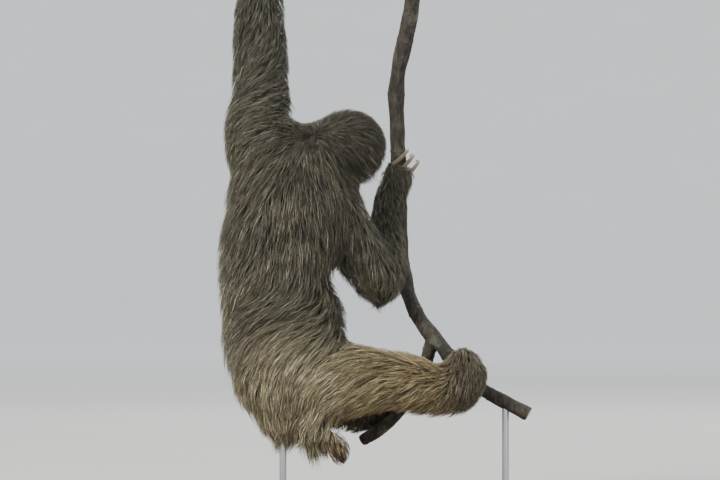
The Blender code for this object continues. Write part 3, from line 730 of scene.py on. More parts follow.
def scattered(locks, where):
    """Roots over the skin's triangles, drawn in proportion to their area, to what
    where(points) says and to how many strands it takes to cover them."""
    depth = coat_here[corners[corner_of[:, 0]], 0]
    weight = skin_area * where(skin_middle) / (length_at(depth) * half_width_at(depth))
    weight *= thin_at(skin_middle)
    edge = np.cumsum(weight)
    pick = np.searchsorted(edge, (np.arange(locks) + draw.random(locks)) / locks * edge[-1])
    pick = np.minimum(pick, len(skin_area) - 1)
    u, v = draw.random((2, locks))
    over = u + v > 1
    u, v = np.where(over, 1 - u, u), np.where(over, 1 - v, v)
    shares = np.stack([1 - u - v, u, v], 1)[:, :, None]
    at = corner_of[pick]
    return ((skin_place[corners[at]] * shares).sum(1), (patch_uv[at] * shares).sum(1),
            unit((skin_outward[corners[at]] * shares).sum(1)),
            (coat_here[corners[at]] * shares).sum(1)[:, 0])


def along_strand(rings):
    """How far along a strand its rings of corners lie, and its tip: a little closer
    together near the root."""
    return np.linspace(0, 1, rings + 1) ** 1.1


TUFT_PATCH = 0.003  # side of a strand's patch on its map
LOCK_RADIUS = 0.115  # how far a strand starts from its lock's middle, of its length
SWAY = 0.036  # how far a strand waves to the side, of its length
RISE = 0.040  # how far a strand lifts off its lock by chance, of the coat's depth
HANGS = (
    # place, reach, share of the length that hangs off the skin
    ((-0.076, -0.024, 0.120), 0.024, 0.75),
    ((-0.100, 0.010, 0.110), 0.022, 0.30),
    ((-0.130, 0.010, 0.140), 0.022, 0.10),
)


def hang_at(points):
    """How far the hair at each point hangs off the skin, as a share of its length, and
    how far it draws sideways to the middle of its tuft."""
    down, gather = np.zeros(len(points)), np.zeros((len(points), 3))
    for place, reach, share in HANGS:
        here = share * np.exp(-(np.linalg.norm(points - place, axis=1) / reach) ** 2)
        down += here
        gather += here[:, None] * (np.array(place) - points) * (1, 1, 0)
    return down, gather


def grown(root, outward, depth, stretch, stations, lie=lie_at, sink=0.0012):
    """Paths of locks that rise from the skin to the coat's surface and lie along it.

    Height above the skin is depth * (1 - (1 - t)^k), where k is 1.9, and more where a
    place gets little hair from above. Each step goes on along the lie by its share of
    the length, then back to that height over the nearest skin.
    """
    length = length_at(depth) * stretch
    rising = (1.9 + 1.2 * (thin_at(root) - 1.0)).clip(1.9, 3.4)
    path = [root - outward * sink]
    way = laid_flat(lie(root + outward * depth[:, None]), outward)
    at, up = root, outward
    for before, share in zip(stations[:-1], stations[1:]):
        step = (length * (share - before) * 0.94)[:, None]
        ahead = path[-1] + way * step
        place, normal = nearest(skin, ahead, ("outward",))
        normal = unit(normal)
        turned = np.sum(normal * up, axis=1, keepdims=True) < 0.25
        normal = np.where(turned, up, normal)
        place = np.where(turned, at + way * step, place)
        height = (depth * (1 - (1 - share) ** rising))[:, None]
        path.append(place + normal * height)
        fresh = laid_flat(lie(path[-1]), normal)
        way = laid_flat(way * 0.35 + fresh * 0.65, normal)
        at, up = place, normal
    return np.stack(path, 1), length


def ripple(points):
    """A slow change over the body, so that locks side by side wave together: the sum of
    three sines of place, some 60 to 90 mm long."""
    x, y, z = points.T * 2 * math.pi
    return 0.5 + 0.34 * (np.sin(16 * z + 7 * x) + np.sin(12 * x - 6 * z + 9 * y + 1.3)
                         + np.sin(11 * z + 10 * y - 5 * x + 4.1))


def hair_piece(name, locks, strands, where, rings=3, stretch=1.0, finer_by=1.0,
               shaggy=1.0, clump=0.15, lie=lie_at):
    """One piece of the coat: locks of strands grown where where(points) is above 0.

    A strand starts up to a lock's radius from its lock and closes on it by clump of the
    way to the tip. It waves sideways as sin(2 pi (turns t + phase)), veers and lifts a
    little by chance, and sags under its own weight where the skin faces down.
    """
    root, uv, outward, depth = scattered(locks, where)
    depth = depth * draw.normal(0.97, 0.040 * shaggy, locks).clip(0.82, 1.10)
    path, length = grown(root, outward, depth,
                         stretch * draw.normal(1, 0.11, locks).clip(0.7, 1.35),
                         along_strand(rings), lie)
    steps = np.gradient(path, axis=1)
    normal = outward[:, None] - unit(steps) * np.sum(unit(steps) * outward[:, None], axis=2,
                                                     keepdims=True)
    lateral = unit(np.cross(steps, unit(normal)))
    t = along_strand(rings)[None, :, None]

    def each(rows):
        """A lock's rows given to each of its strands."""
        return np.repeat(rows, strands, axis=0)

    many = locks * strands
    reach = draw.uniform(0.74, 1.0, many)  # how much of its lock's path a strand takes
    at = along_strand(rings)[None, :] * reach[:, None]
    span = np.clip(np.searchsorted(along_strand(rings), at.ravel()) - 1, 0,
                   rings - 1).reshape(at.shape)
    low, high = along_strand(rings)[span], along_strand(rings)[span + 1]
    part = ((at - low) / (high - low))[:, :, None]
    lock = np.repeat(np.arange(locks), strands)[:, None]
    base = path[lock, span] * (1 - part) + path[lock, span + 1] * part
    side, rise = each(lateral), unit(np.cross(each(lateral), each(steps)))
    long, deep = each(length) * reach, each(depth)
    turn = draw.random(many) * 2 * math.pi
    out = np.sqrt(draw.random(many)) * long * LOCK_RADIUS
    closing = 1 - clump * t**0.8
    tight = out[:, None, None] * closing
    base = base + side * np.cos(turn)[:, None, None] * tight
    base = base + each(unit(steps[:, :1])) * (np.sin(turn)[:, None, None] * tight)
    wave_turns = each(draw.uniform(0.26, 0.36, locks)) * draw.normal(1, 0.06, many) * rings
    phase = each(ripple(root) + draw.normal(0, 0.07, locks)) + draw.normal(0, 0.04, many)
    swing = each(draw.uniform(0.5, 1.0, locks)) * draw.uniform(0.7, 1.3, many)
    sway = np.sin(2 * math.pi * (wave_turns[:, None, None] * t + phase[:, None, None]))
    start = np.sin(2 * math.pi * phase)[:, None, None]
    base = base + side * (sway - start) * (swing * long)[:, None, None] * SWAY * shaggy
    veer = (each(draw.normal(0, 0.08, locks)) + draw.normal(0, 0.055, many)) * shaggy
    base = base + side * (veer * long)[:, None, None] * t**1.3
    lift = (each(draw.normal(0, 0.25, locks)) + draw.normal(0, 0.6, many)) * shaggy
    base = base + rise * (lift * deep)[:, None, None] * RISE * t**1.5
    hang, gather = hang_at(root)
    sag = each(np.maximum(0, 0.25 - outward[:, 2]) * 0.11 * shaggy + hang) * long
    base = base - np.array((0, 0, 1.0)) * sag[:, None, None] * t**2
    base = base + each(gather)[:, None] * 0.9 * t**2
    half = half_width_at(deep) * finer_by * draw.normal(1, 0.18, many).clip(0.55, 1.5)
    strand_mesh(name, rings, base, side, half, each(uv), coat_colour(each(root + outward * 0.5
                                                                   * depth[:, None])),
                each(draw.normal(1, 0.09, locks)) * np.exp(draw.normal(-0.25, 0.42, many))
                * np.where(draw.random(many) < 0.13, 2.1, 1.0))


def strand_faces(rings):
    """The faces of one strand as corner numbers, and each corner's place on its patch:
    a cap at the root, three sides of quads cut in two, and a point."""
    stations = along_strand(rings)
    faces, spots = [(0, 2, 1)], [((0, 0), (0.66, 0), (0.33, 0))]
    for r in range(rings - 1):
        for k in range(3):
            a, b = 3 * r + k, 3 * r + (k + 1) % 3
            c, d = b + 3, a + 3
            low, high = stations[r], stations[r + 1]
            at = ((k / 3, low), ((k + 1) / 3, low), ((k + 1) / 3, high), (k / 3, high))
            faces += [(a, b, c), (a, c, d)]
            spots += [(at[0], at[1], at[2]), (at[0], at[2], at[3])]
    for k in range(3):
        a, b = 3 * (rings - 1) + k, 3 * (rings - 1) + (k + 1) % 3
        faces.append((a, b, 3 * rings))
        spots.append(((k / 3, stations[-2]), ((k + 1) / 3, stations[-2]),
                      ((k + 0.5) / 3, 1)))
    return np.array(faces), np.array(spots, float)


# Painted shade: a strand is darkened towards its root, where the shadow between the hairs
# falls; its paler tip is partly its own colour and partly painted highlight.
ROOT_PAINTED_SHADE, TIP_PALE = 0.72, 1.15  # a strand's shade at its root and near its tip


def strand_mesh(name, rings, path, side, half, uv, colour, shade):
    """The strands' mesh: at each ring a corner is path + w (cos a side + 0.6 sin a up),
    where w is half * (0.85 + 0.6 t)(1 - t^2), and the tip is a point."""
    t = along_strand(rings)
    full = ((0.85 + 0.6 * t) * (1 - t**2))[:rings]
    many = len(path)
    along = unit(np.gradient(path, axis=1))
    side = unit(side - along * np.sum(side * along, axis=2, keepdims=True))
    up = np.cross(side, along)
    angle = np.radians([90, 210, 330])
    wide = half[:, None, None, None] * full[None, :, None, None]
    ring = (path[:, :rings, None] + wide * (np.cos(angle)[:, None] * side[:, :rings, None]
                                            + 0.6 * np.sin(angle)[:, None]
                                            * up[:, :rings, None]))
    points = np.concatenate([ring.reshape(many, -1, 3), path[:, -1:]], 1)
    faces, spots = strand_faces(rings)
    per = 3 * rings + 1
    index = faces[None] + (np.arange(many) * per)[:, None, None]
    mesh = bpy.data.meshes.new(name)
    mesh.vertices.add(many * per)
    mesh.vertices.foreach_set("co", points.astype(np.float32).ravel())
    mesh.loops.add(index.size)
    mesh.loops.foreach_set("vertex_index", index.astype(np.int32).ravel())
    mesh.polygons.add(index.size // 3)
    mesh.polygons.foreach_set("loop_start", np.arange(0, index.size, 3, dtype=np.int32))
    mesh.update(calc_edges=True)
    patch = mesh.uv_layers.new(name="OFBake")
    spot = uv[:, None, None] + (spots[None] - 0.5) * TUFT_PATCH
    patch.data.foreach_set("uv", spot.clip(0, 1).astype(np.float32).ravel())
    share = np.concatenate([np.repeat(t[:rings], 3), [1.0]])
    tone = ROOT_PAINTED_SHADE + (TIP_PALE - ROOT_PAINTED_SHADE) * share**0.85
    paint = np.ones((many, per, 4))
    paint[:, :, :3] = (colour[:, None] * tone[None, :, None] * shade[:, None, None]).clip(0,
                                                                                        1)
    held = mesh.color_attributes.new("coat_colour", "FLOAT_COLOR", "POINT")
    held.data.foreach_set("color", paint.astype(np.float32).ravel())
    mesh.shade_smooth()
    mesh.materials.append(hair)
    made = linked(name, mesh)
    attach(made, "root")


CELL = 0.008  # side of the cells that count how well the hair covers the skin
ROOMS = np.array((80, 60, 140))


def cell_of(points):
    """The number of the cell that each point is in."""
    at = np.floor((points - np.array(cad_box[0])) / CELL).astype(int)
    return np.ravel_multi_index(at.clip(0, ROOMS - 1).T, ROOMS)


thinness = np.ones(ROOMS.prod())


def thin_at(points):
    """How many times more hair a place needs than its share, found by a trial coat."""
    return thinness[cell_of(points)]


def trial_coat(locks):
    """Grow bare paths over the whole skin, count them in cells over the skin, and ask
    for more hair in the cells that they leave thin, such as round a whorl."""
    needs = np.bincount(cell_of(skin_middle), skin_area, len(thinness))
    root, _, outward, deep = scattered(locks, lambda points: np.ones(len(points)))
    stations = along_strand(3)
    path, length = grown(root, outward, deep, np.ones(locks), stations)
    found = np.zeros(len(thinness))
    for share in np.linspace(0.15, 0.95, 9):
        span = np.searchsorted(stations, share) - 1
        part = (share - stations[span]) / (stations[span + 1] - stations[span])
        at = path[:, span] * (1 - part) + path[:, span + 1] * part
        found += np.bincount(cell_of(nearest(skin, at)[0]),
                             length * half_width_at(deep) / 9, len(thinness))

    def blurred(cells):
        """The sum over each cell and its 26 neighbours."""
        box = np.pad(cells.reshape(ROOMS), 1)
        return sum(box[i:i + ROOMS[0], j:j + ROOMS[1], k:k + ROOMS[2]]
                   for i in range(3) for j in range(3) for k in range(3)).ravel()

    needs, found = blurred(needs), blurred(found)
    usual = found[needs > 0].sum() / needs[needs > 0].sum()
    return np.where(needs > 0, (usual * needs / (found + 0.06 * usual * needs + 1e-12)),
                    1.0).clip(0.75, 6.0)


thinness = thinness * trial_coat(9000)
thinness = thinness * trial_coat(9000) ** 0.6
thinness = (thinness * trial_coat(9000) ** 0.4).clip(0.6, 9.0)

hair, tree, shader = shader_of("hair", PLAIN, 0.62)
shader.inputs["Specular IOR Level"].default_value = 0.28
tree.links.new(coat_look(tree, 380, 0.70, 1.27), shader.inputs["Base Color"])


def coat_regions(points):
    """Which part of the coat each point is in, by its own place on the body: 0 head,
    1 left arm, 2 right arm, 3 right thigh, 4 left leg and tail, 5 to 8 the trunk from
    the rump up, 9 left wrist, 10 right shank and foot."""
    x, y, z = points.T
    region = 5 + np.searchsorted([0.215, 0.305, 0.420], z)
    region = np.where((x > -0.015) & (z < 0.26) & (y < 0.075),
                      np.where(x > 0.062, 10, 3), region)
    region = np.where((y > 0.070) & (z < 0.25), 4, region)
    region = np.where((x > -0.062) & (x < 0.0) & (z < 0.122), 4, region)
    region = np.where((x + 0.4 * (z - 0.44) > -0.008) & (z > 0.26) & (z < 0.47), 2, region)
    region = np.where((z > 0.525) & (x < -0.060), np.where(z > 0.690, 9, 1), region)
    head = np.linalg.norm(points - HEAD, axis=1) < 0.060
    return np.where(head, 0, region)


AREAS = (  # name, rings, and how much hair for its area
    ("head", 3, 1.50), ("left_arm", 4, 1.0), ("right_arm", 3, 1.0),
    ("right_thigh", 4, 1.1), ("left_leg", 3, 0.72), ("rump", 4, 1.1), ("loin", 4, 1.1),
    ("back", 4, 1.0), ("shoulders", 4, 1.05), ("left_wrist", 3, 0.80),
    ("right_shank", 4, 0.95))
STRANDS_IN_ALL = 69500
STRANDS_IN_LOCK = 5
need = skin_area / (length_at(coat_here) * half_width_at(coat_here))[
    corners[corner_of[:, 0]], 0] * (1 - face_share(skin_middle)) * thin_at(skin_middle)
shares = np.bincount(coat_regions(skin_middle), need, len(AREAS)) / need.sum()
for number, (name, rings, more) in enumerate(AREAS):
    hair_piece(f"coat_{name}", int(shares[number] * more * STRANDS_IN_ALL / STRANDS_IN_LOCK),
               STRANDS_IN_LOCK, lambda points, n=number: (coat_regions(points) == n) * (
                   1 - face_share(points)), rings, 1.0, 1 / math.sqrt(more))


def brush(points):
    """1 at the root of the brush of long hair beside the tail, fading out round it."""
    return np.exp(-(np.linalg.norm(points - (-0.070, -0.020, 0.112), axis=1) / 0.016) ** 2)


hair_piece("coat_brush", 220, 5, brush, 4, 1.08)


def above_whorl(points):
    """1 just above the whorl, fading out round it."""
    return np.exp(-(np.linalg.norm(points - WHORL - (0.001, 0.004, 0.005), axis=1)
                    / 0.0045) ** 2)


# A few short locks fall across the whorl, where all the rest grow away from it.
hair_piece("coat_whorl", 40, 5, above_whorl, 3, 0.85, lie=lambda points: np.zeros_like(
    points) + (-0.15, -0.2, -1.0))


def face_hair(points):
    """1 on the face, where the hair is short, fine and flat, and 0 on the eyelids, the
    lips and under the nose pad."""
    side, ahead, lift = in_head(points)
    clear = np.ones(len(points))
    for sign in (-1, 1):
        across, above, out, _ = in_eye(points, sign)
        clear *= fade(1.10, 1.45, np.hypot((across + sign * 0.0012) / OPENING[0],
                                           above / OPENING[1]))
    clear *= 1 - mound(lift - mouth_line(side), 0, 0.0012) * (np.abs(side) < 0.026)
    clear *= fade(0.008, 0.011, np.linalg.norm(points - NOSE_TIP, axis=1))
    return face_share(points) * clear


hair_piece("coat_face", 2500, 3, face_hair, 3, 1.0, 0.95, 0.55, 0.30)

# ---------------------------------------------------------------- eyes
# Small wet dark brown eyes, set deep behind their lids. Each is one ball with a clear
# bulge over the iris, which hides its edge under the lids.
def closed_grid(name, points, finish):
    """A grid of points, rows by columns, as a mesh that joins round its columns and is
    closed by a fan at each end. Its map "run" holds the share round and along."""
    rows, columns = points.shape[:2]
    corner = np.arange(rows * columns).reshape(rows, columns)
    after = np.roll(corner, -1, 1)
    quads = np.stack([corner[:-1], after[:-1], after[1:], corner[1:]], -1).reshape(-1, 4)
    round_, along = np.meshgrid(np.arange(columns + 1) / columns,
                                np.arange(rows) / (rows - 1))
    spot = np.stack([round_, along], -1)
    quad_spots = np.stack([spot[:-1, :-1], spot[:-1, 1:], spot[1:, 1:], spot[1:, :-1]],
                          -2).reshape(-1, 2)
    first, last = rows * columns, rows * columns + 1
    low = np.stack([np.full(columns, first), after[0], corner[0]], -1)
    high = np.stack([np.full(columns, last), corner[-1], after[-1]], -1)
    ends = np.stack([spot[0, :-1] * (1, 0), spot[0, 1:], spot[0, :-1],
                     spot[-1, :-1], spot[-1, :-1], spot[-1, 1:]], 1)
    mesh = bpy.data.meshes.new(name)
    place = np.vstack([points.reshape(-1, 3), points[0].mean(0), points[-1].mean(0)])
    mesh.from_pydata(place.tolist(), [], quads.tolist() + low.tolist() + high.tolist())
    run = mesh.uv_layers.new(name="run")
    spots = np.vstack([quad_spots, ends[:, :3].reshape(-1, 2), ends[:, 3:].reshape(-1, 2)])
    run.data.foreach_set("uv", spots.astype(np.float32).ravel())
    tidy = bmesh.new()
    tidy.from_mesh(mesh)
    bmesh.ops.recalc_face_normals(tidy, faces=tidy.faces)
    tidy.to_mesh(mesh)
    tidy.free()
    mesh.shade_smooth()
    mesh.materials.append(finish)
    made = linked(name, mesh)
    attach(made, "root")
    return made


def run_of(tree):
    """The piece's own map of the share round and the share along, and the second."""
    made = tree.nodes.new("ShaderNodeUVMap")
    made.uv_map = "run"
    split = tree.nodes.new("ShaderNodeSeparateXYZ")
    tree.links.new(made.outputs["UV"], split.inputs["Vector"])
    return made.outputs["UV"], split.outputs["Y"]


def banded_colours(tree, value, stops):
    """A colour ramp: each stop is a place from 0 to 1 and a colour."""
    made = tree.nodes.new("ShaderNodeValToRGB")
    ramp = made.color_ramp
    while len(ramp.elements) < len(stops):
        ramp.elements.new(0.5)
    for element, (at, colour) in zip(ramp.elements, stops):
        element.position, element.color = at, (*colour, 1)
    tree.links.new(value, made.inputs["Fac"])
    return made.outputs["Color"]


wet_eye, tree, shader = shader_of("wet_eye", (0.020, 0.012, 0.008), 0.12)
shader.inputs["Specular IOR Level"].default_value = 0.12
shader.inputs["Coat Weight"].default_value = 0.35
shader.inputs["Coat Roughness"].default_value = 0.03
run, along = run_of(tree)
iris = banded_colours(tree, along, [
    (0.0, (0.002, 0.002, 0.002)), (0.095, (0.002, 0.002, 0.002)),
    (0.115, (0.060, 0.030, 0.013)), (0.235, (0.030, 0.015, 0.008)),
    (0.270, (0.006, 0.004, 0.003)), (0.330, (0.035, 0.024, 0.018))])
streaks = tree.nodes.new("ShaderNodeMapping")
streaks.inputs["Scale"].default_value = (60, 3, 1)
tree.links.new(run, streaks.inputs["Vector"])
tree.links.new(mixed(tree, 1.0, iris, spread(tree, noise(
    tree, streaks.outputs["Vector"], 1.0, 2), 0.6, 1.3), "MULTIPLY"),
    shader.inputs["Base Color"])
for side, name in ((-1, "left_eye"), (1, "right_eye")):
    centre = np.array(eyes[0] if side < 0 else eyes[1])
    gaze = in_eye(centre[None], side)[3]
    across = np.cross(gaze, UP)
    across /= np.linalg.norm(across)
    above = np.cross(across, gaze)
    polar = np.linspace(0.02, math.pi - 0.02, 34)[:, None, None]
    turn = (np.arange(40) / 40 * 2 * math.pi)[None, :, None]
    radius = EYE_RADIUS - 0.0002 + 0.0004 * np.exp(-(polar / 0.45) ** 2)
    ball = centre + radius * (np.cos(polar) * gaze + np.sin(polar) * (
        np.cos(turn) * across + np.sin(turn) * above))
    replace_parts(closed_grid(f"{name}_ball", ball, wet_eye), name)

# ---------------------------------------------------------------- nose
# The bare nose pad: black moist pebbled skin, with two nostrils that open forward and
# to the sides and a shallow furrow down its middle.
pad_skin, tree, shader = shader_of("nose_skin", (0.018, 0.014, 0.012), 0.50)
shader.inputs["Specular IOR Level"].default_value = 0.30
place = object_place(tree)
cells = tree.nodes.new("ShaderNodeTexVoronoi")
cells.inputs["Scale"].default_value = 1150
tree.links.new(place, cells.inputs["Vector"])
tree.links.new(mixed(tree, noise(tree, place, 420, 4), (0.008, 0.006, 0.005),
                     (0.036, 0.027, 0.023)), shader.inputs["Base Color"])
tree.links.new(spread(tree, noise(tree, place, 300), 0.30, 0.58), shader.inputs["Roughness"])
bumped(tree, shader, cells.outputs["Distance"], 0.00022, 0.8)
NOSE_HALVES = (0.0102, 0.0056, 0.0070)  # half the pad's width, length and height
NOSE_BACK = 0.0022  # how far its middle lies behind the middle of the CAD's nose
polar = np.linspace(0.03, math.pi - 0.03, 46)[:, None]
turn = (np.arange(64) / 64 * 2 * math.pi)[None, :]
x, y, z = np.sin(polar) * np.cos(turn), np.cos(polar) * np.ones_like(turn), np.sin(
    polar) * np.sin(turn)
nostril = np.hypot((np.abs(x) - 0.47 - 0.15 * z) / 0.19, (z + 0.14) / 0.26)
flare = np.hypot((np.abs(x) - 0.52) / 0.42, (z + 0.05) / 0.55)
swell = (1 + 0.07 * np.exp(-flare**2) - 0.40 * np.exp(-nostril**4) * (y > 0)
         - 0.10 * np.exp(-(x / 0.07) ** 2) * (z < 0.35) * (y > 0))
pad = (NOSE_TIP - AHEAD * NOSE_BACK + (x * NOSE_HALVES[0] * swell)[..., None] * RIGHT
       + (y * NOSE_HALVES[1] * swell)[..., None] * AHEAD
       + (z * NOSE_HALVES[2] * swell)[..., None] * UP)
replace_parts(closed_grid("nose_pad", pad, pad_skin), "nose")

# ---------------------------------------------------------------- perch
# A cut length of one forked branch: a thick limb, a thin winding stem that leaves it and
# a side shoot low down. Its bark is whole round the forks, and its ends are sawn flat.
# Each row is a place on a stem's middle line and its radius there.
LIMB = ((-0.262, 0.017, 0.776, 0.0205), (-0.140, 0.022, 0.867, 0.0200),
        (-0.020, 0.026, 0.958, 0.0192), (0.110, 0.020, 1.052, 0.0182))
STEM = ((0.068, 0.024, 1.004, 0.0140), (0.084, 0.034, 0.900, 0.0125),
        (0.092, 0.060, 0.790, 0.0120), (0.086, 0.093, 0.705, 0.0115),
        (0.067, 0.132, 0.610, 0.0112), (0.068, 0.152, 0.530, 0.0110),
        (0.070, 0.155, 0.450, 0.0106), (0.073, 0.139, 0.368, 0.0106),
        (0.082, 0.111, 0.308, 0.0106), (0.101, 0.080, 0.266, 0.0106),
        (0.129, 0.056, 0.232, 0.0106), (0.155, 0.048, 0.199, 0.0105),
        (0.187, 0.045, 0.171, 0.0101), (0.252, 0.040, 0.136, 0.0096))
BRANCH_VOXEL = 0.0018  # side of the cells that the branch's surface is drawn from
SIDE_SHOOT = ((0.117, 0.064, 0.246, 0.0095), (0.100, 0.076, 0.186, 0.0092),
              (0.068, 0.088, 0.136, 0.0088), (0.040, 0.094, 0.111, 0.0084),
              (0.016, 0.102, 0.096, 0.0080))


def through(points, steps):
    """Rows of numbers on a Catmull-Rom curve through the given rows."""
    rows = np.array(points, float)
    ends = np.vstack([2 * rows[0] - rows[1], rows, 2 * rows[-1] - rows[-2]])
    share = np.linspace(0, 1, steps, endpoint=False)[:, None]
    spans = [0.5 * (2 * b + (c - a) * share + (2 * a - 5 * b + 4 * c - d) * share**2
                    + (3 * b - a - 3 * c + d) * share**3)
             for a, b, c, d in zip(ends[:-3], ends[1:-2], ends[2:-1], ends[3:])]
    return np.vstack([*spans, rows[-1:]])


def stem_surface(rows, sides=28):
    """A round section carried along rows of place and radius, with sawn flat ends:
    place + radius * (cos t across + sin t back), each end drawn in by rings."""
    steps = unit(np.gradient(rows[:, :3], axis=0))
    across = unit(np.cross(steps, (0.05, 1.0, 0.02)))
    back = np.cross(steps, across)
    inner = np.array([0.25, 0.6, 0.9])
    rows = np.vstack([rows[:1].repeat(3, 0) * np.array([1, 1, 1, 0]) + np.outer(
        inner * rows[0, 3], (0, 0, 0, 1)), rows, rows[-1:].repeat(3, 0) * np.array(
            [1, 1, 1, 0]) + np.outer(inner[::-1] * rows[-1, 3], (0, 0, 0, 1))])
    pad = ((3, 3), (0, 0))
    across, back = np.pad(across, pad, "edge"), np.pad(back, pad, "edge")
    turn = np.arange(sides) / sides * 2 * math.pi
    return rows[:, None, :3] + rows[:, None, 3:] * (
        np.cos(turn)[None, :, None] * across[:, None]
        + np.sin(turn)[None, :, None] * back[:, None])


bark, tree, shader = shader_of("bark", (0.16, 0.115, 0.085), 0.88)
place = object_place(tree)
grain = object_place(tree, (1, 1, 0.35))
plates = noise(tree, grain, 150, 6, 0.62)
bark_colour = banded_colours(tree, plates, [
    (0.30, (0.009, 0.008, 0.006)), (0.48, (0.026, 0.022, 0.016)),
    (0.62, (0.052, 0.043, 0.032)), (0.80, (0.105, 0.086, 0.064))])
lichen = spread(tree, noise(tree, place, 26, 5, 0.6), 0, 1, 0.56, 0.66)
bark_colour = mixed(tree, lichen, bark_colour, mixed(
    tree, noise(tree, place, 320, 3), (0.050, 0.056, 0.036), (0.125, 0.128, 0.095)))
ends_split = tree.nodes.new("ShaderNodeSeparateXYZ")
held = tree.nodes.new("ShaderNodeAttribute")
held.attribute_name = "sawn"
tree.links.new(held.outputs["Vector"], ends_split.inputs["Vector"])
waves = tree.nodes.new("ShaderNodeMath")
waves.operation = "SINE"
tree.links.new(spread(tree, ends_split.outputs["Y"], 0, 75), waves.inputs[0])
wood = mixed(tree, spread(tree, waves.outputs[0], 0, 1, -1, 1), (0.42, 0.30, 0.18),
             (0.24, 0.155, 0.085))
wood = mixed(tree, 1.0, wood, spread(tree, noise(tree, place, 700, 4), 0.72, 1.2),
             "MULTIPLY")
tree.links.new(mixed(tree, ends_split.outputs["X"], bark_colour, wood),
               shader.inputs["Base Color"])
spots = tree.nodes.new("ShaderNodeTexVoronoi")
spots.inputs["Scale"].default_value = 190
tree.links.new(object_place(tree, (1, 1, 2.2)), spots.inputs["Vector"])
pores = spread(tree, spots.outputs["Distance"], 1, 0, 0.0, 0.22)
height = tree.nodes.new("ShaderNodeMath")
tree.links.new(plates, height.inputs[0])
tree.links.new(spread(tree, pores, 0, 0.30), height.inputs[1])
bumped(tree, shader, height.outputs[0], 0.0022, 0.85)


def whole_branch():
    """The three stems melted into one surface by a voxel remesh, eased round the forks,
    then given the bark's own form: slow swellings, furrows along the stem, rings at the
    old buds and a few knots. Sawn ends stay flat and are marked for the wood's colour."""
    parts = bmesh.new()
    paths = [through(LIMB, 16), through(STEM, 9), through(SIDE_SHOOT, 9)]
    for rows in paths:
        made = closed_grid("stem", stem_surface(rows), bark)
        parts.from_mesh(made.data)
        bpy.data.objects.remove(made)
    mesh = bpy.data.meshes.new("branch")
    parts.to_mesh(mesh)
    parts.free()
    made = linked("branch", mesh)
    remesh = made.modifiers.new("whole", "REMESH")
    remesh.mode = "VOXEL"
    remesh.voxel_size = BRANCH_VOXEL
    settled(made)
    mesh = made.data
    ends = np.zeros(len(mesh.edges) * 2, np.int32)
    mesh.edges.foreach_get("vertices", ends)
    ends = ends.reshape(-1, 2)
    place = numbers(mesh.vertices, "co", 3)
    line = np.vstack(paths)
    steps = np.vstack([unit(np.gradient(rows[:, :3], axis=0)) for rows in paths])
    gone = np.concatenate([np.concatenate([[0], np.cumsum(np.linalg.norm(np.diff(
        rows[:, :3], axis=0), axis=1))]) for rows in paths])
    squared = ((place**2).sum(1)[:, None] - 2 * place @ line[:, :3].T
               + (line[:, :3] ** 2).sum(1)[None])
    near = np.argmin(np.sqrt(np.maximum(squared, 0)) - line[None, :, 3], axis=1)
    away = place - line[near, :3]
    run = gone[near] + np.sum(away * steps[near], axis=1)
    out = np.linalg.norm(away - steps[near] * np.sum(away * steps[near], axis=1,
                                                     keepdims=True), axis=1)
    sawn = np.zeros(len(place))
    for rows, at_start in ((paths[0], True), (paths[0], False), (paths[1], False),
                           (paths[2], False)):
        tip, way = (rows[0], rows[0, :3] - rows[1, :3]) if at_start else (
            rows[-1], rows[-1, :3] - rows[-2, :3])
        beyond = (place - tip[:3]) @ unit(way)
        sawn = np.maximum(sawn, (beyond > -0.0012) * (beyond < 0.004) * (
            np.linalg.norm(place - tip[:3], axis=1) < tip[3] * 0.96))
    radius = line[near, 3]
    normal = numbers(mesh.vertex_normals, "vector", 3)
    turn = np.arctan2(away[:, 1], away @ np.array((1.0, 0.0, 0.3)))
    swelling = 0.00050 * (np.sin(70 * run + 2.0)
                          + np.sin(113 * run + 31 * place[:, 0] + 0.7))
    furrow = 0.00022 * (np.sin(9 * turn + 26 * run + 3 * np.sin(60 * run))
                        + np.sin(14 * turn - 37 * run + 2 * np.sin(90 * run + 1)))
    buds = 0.00075 * np.exp(-((((run + 0.02) % 0.083) - 0.04) / 0.0022) ** 2)
    grow = (swelling + furrow + buds) * (1 - sawn) * np.minimum(radius / 0.010, 1.5)
    for knot, size in (((-0.205, 0.000, 0.827), 0.010), ((0.020, 0.008, 0.990), 0.011),
                       ((0.090, 0.045, 0.840), 0.007), ((0.060, 0.140, 0.560), 0.006),
                       ((0.080, 0.125, 0.330), 0.006), ((0.175, 0.036, 0.184), 0.006),
                       ((0.215, 0.050, 0.158), 0.005)):
        reach = np.linalg.norm(place - knot, axis=1) / size
        grow += 0.22 * size * (np.exp(-reach**2) - 0.75 * np.exp(-(reach / 0.4) ** 2))
    place = softened(place, ends, 2, 0.4) + normal * grow[:, None]
    mesh.vertices.foreach_set("co", place.astype(np.float32).ravel())
    mesh.update()
    share = softened(np.stack([sawn, out / 0.021, sawn], 1), ends, 1)
    share[:, 1] = out / 0.021
    keep(mesh, "sawn", share)
    mesh.shade_smooth()
    mesh.materials.clear()
    mesh.materials.append(bark)
    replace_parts(made, "perch_limb", "perch_stem_top", "perch_stem_middle",
                "perch_stem_foot", "perch_side_shoot")
    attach(made, "root")


whole_branch()

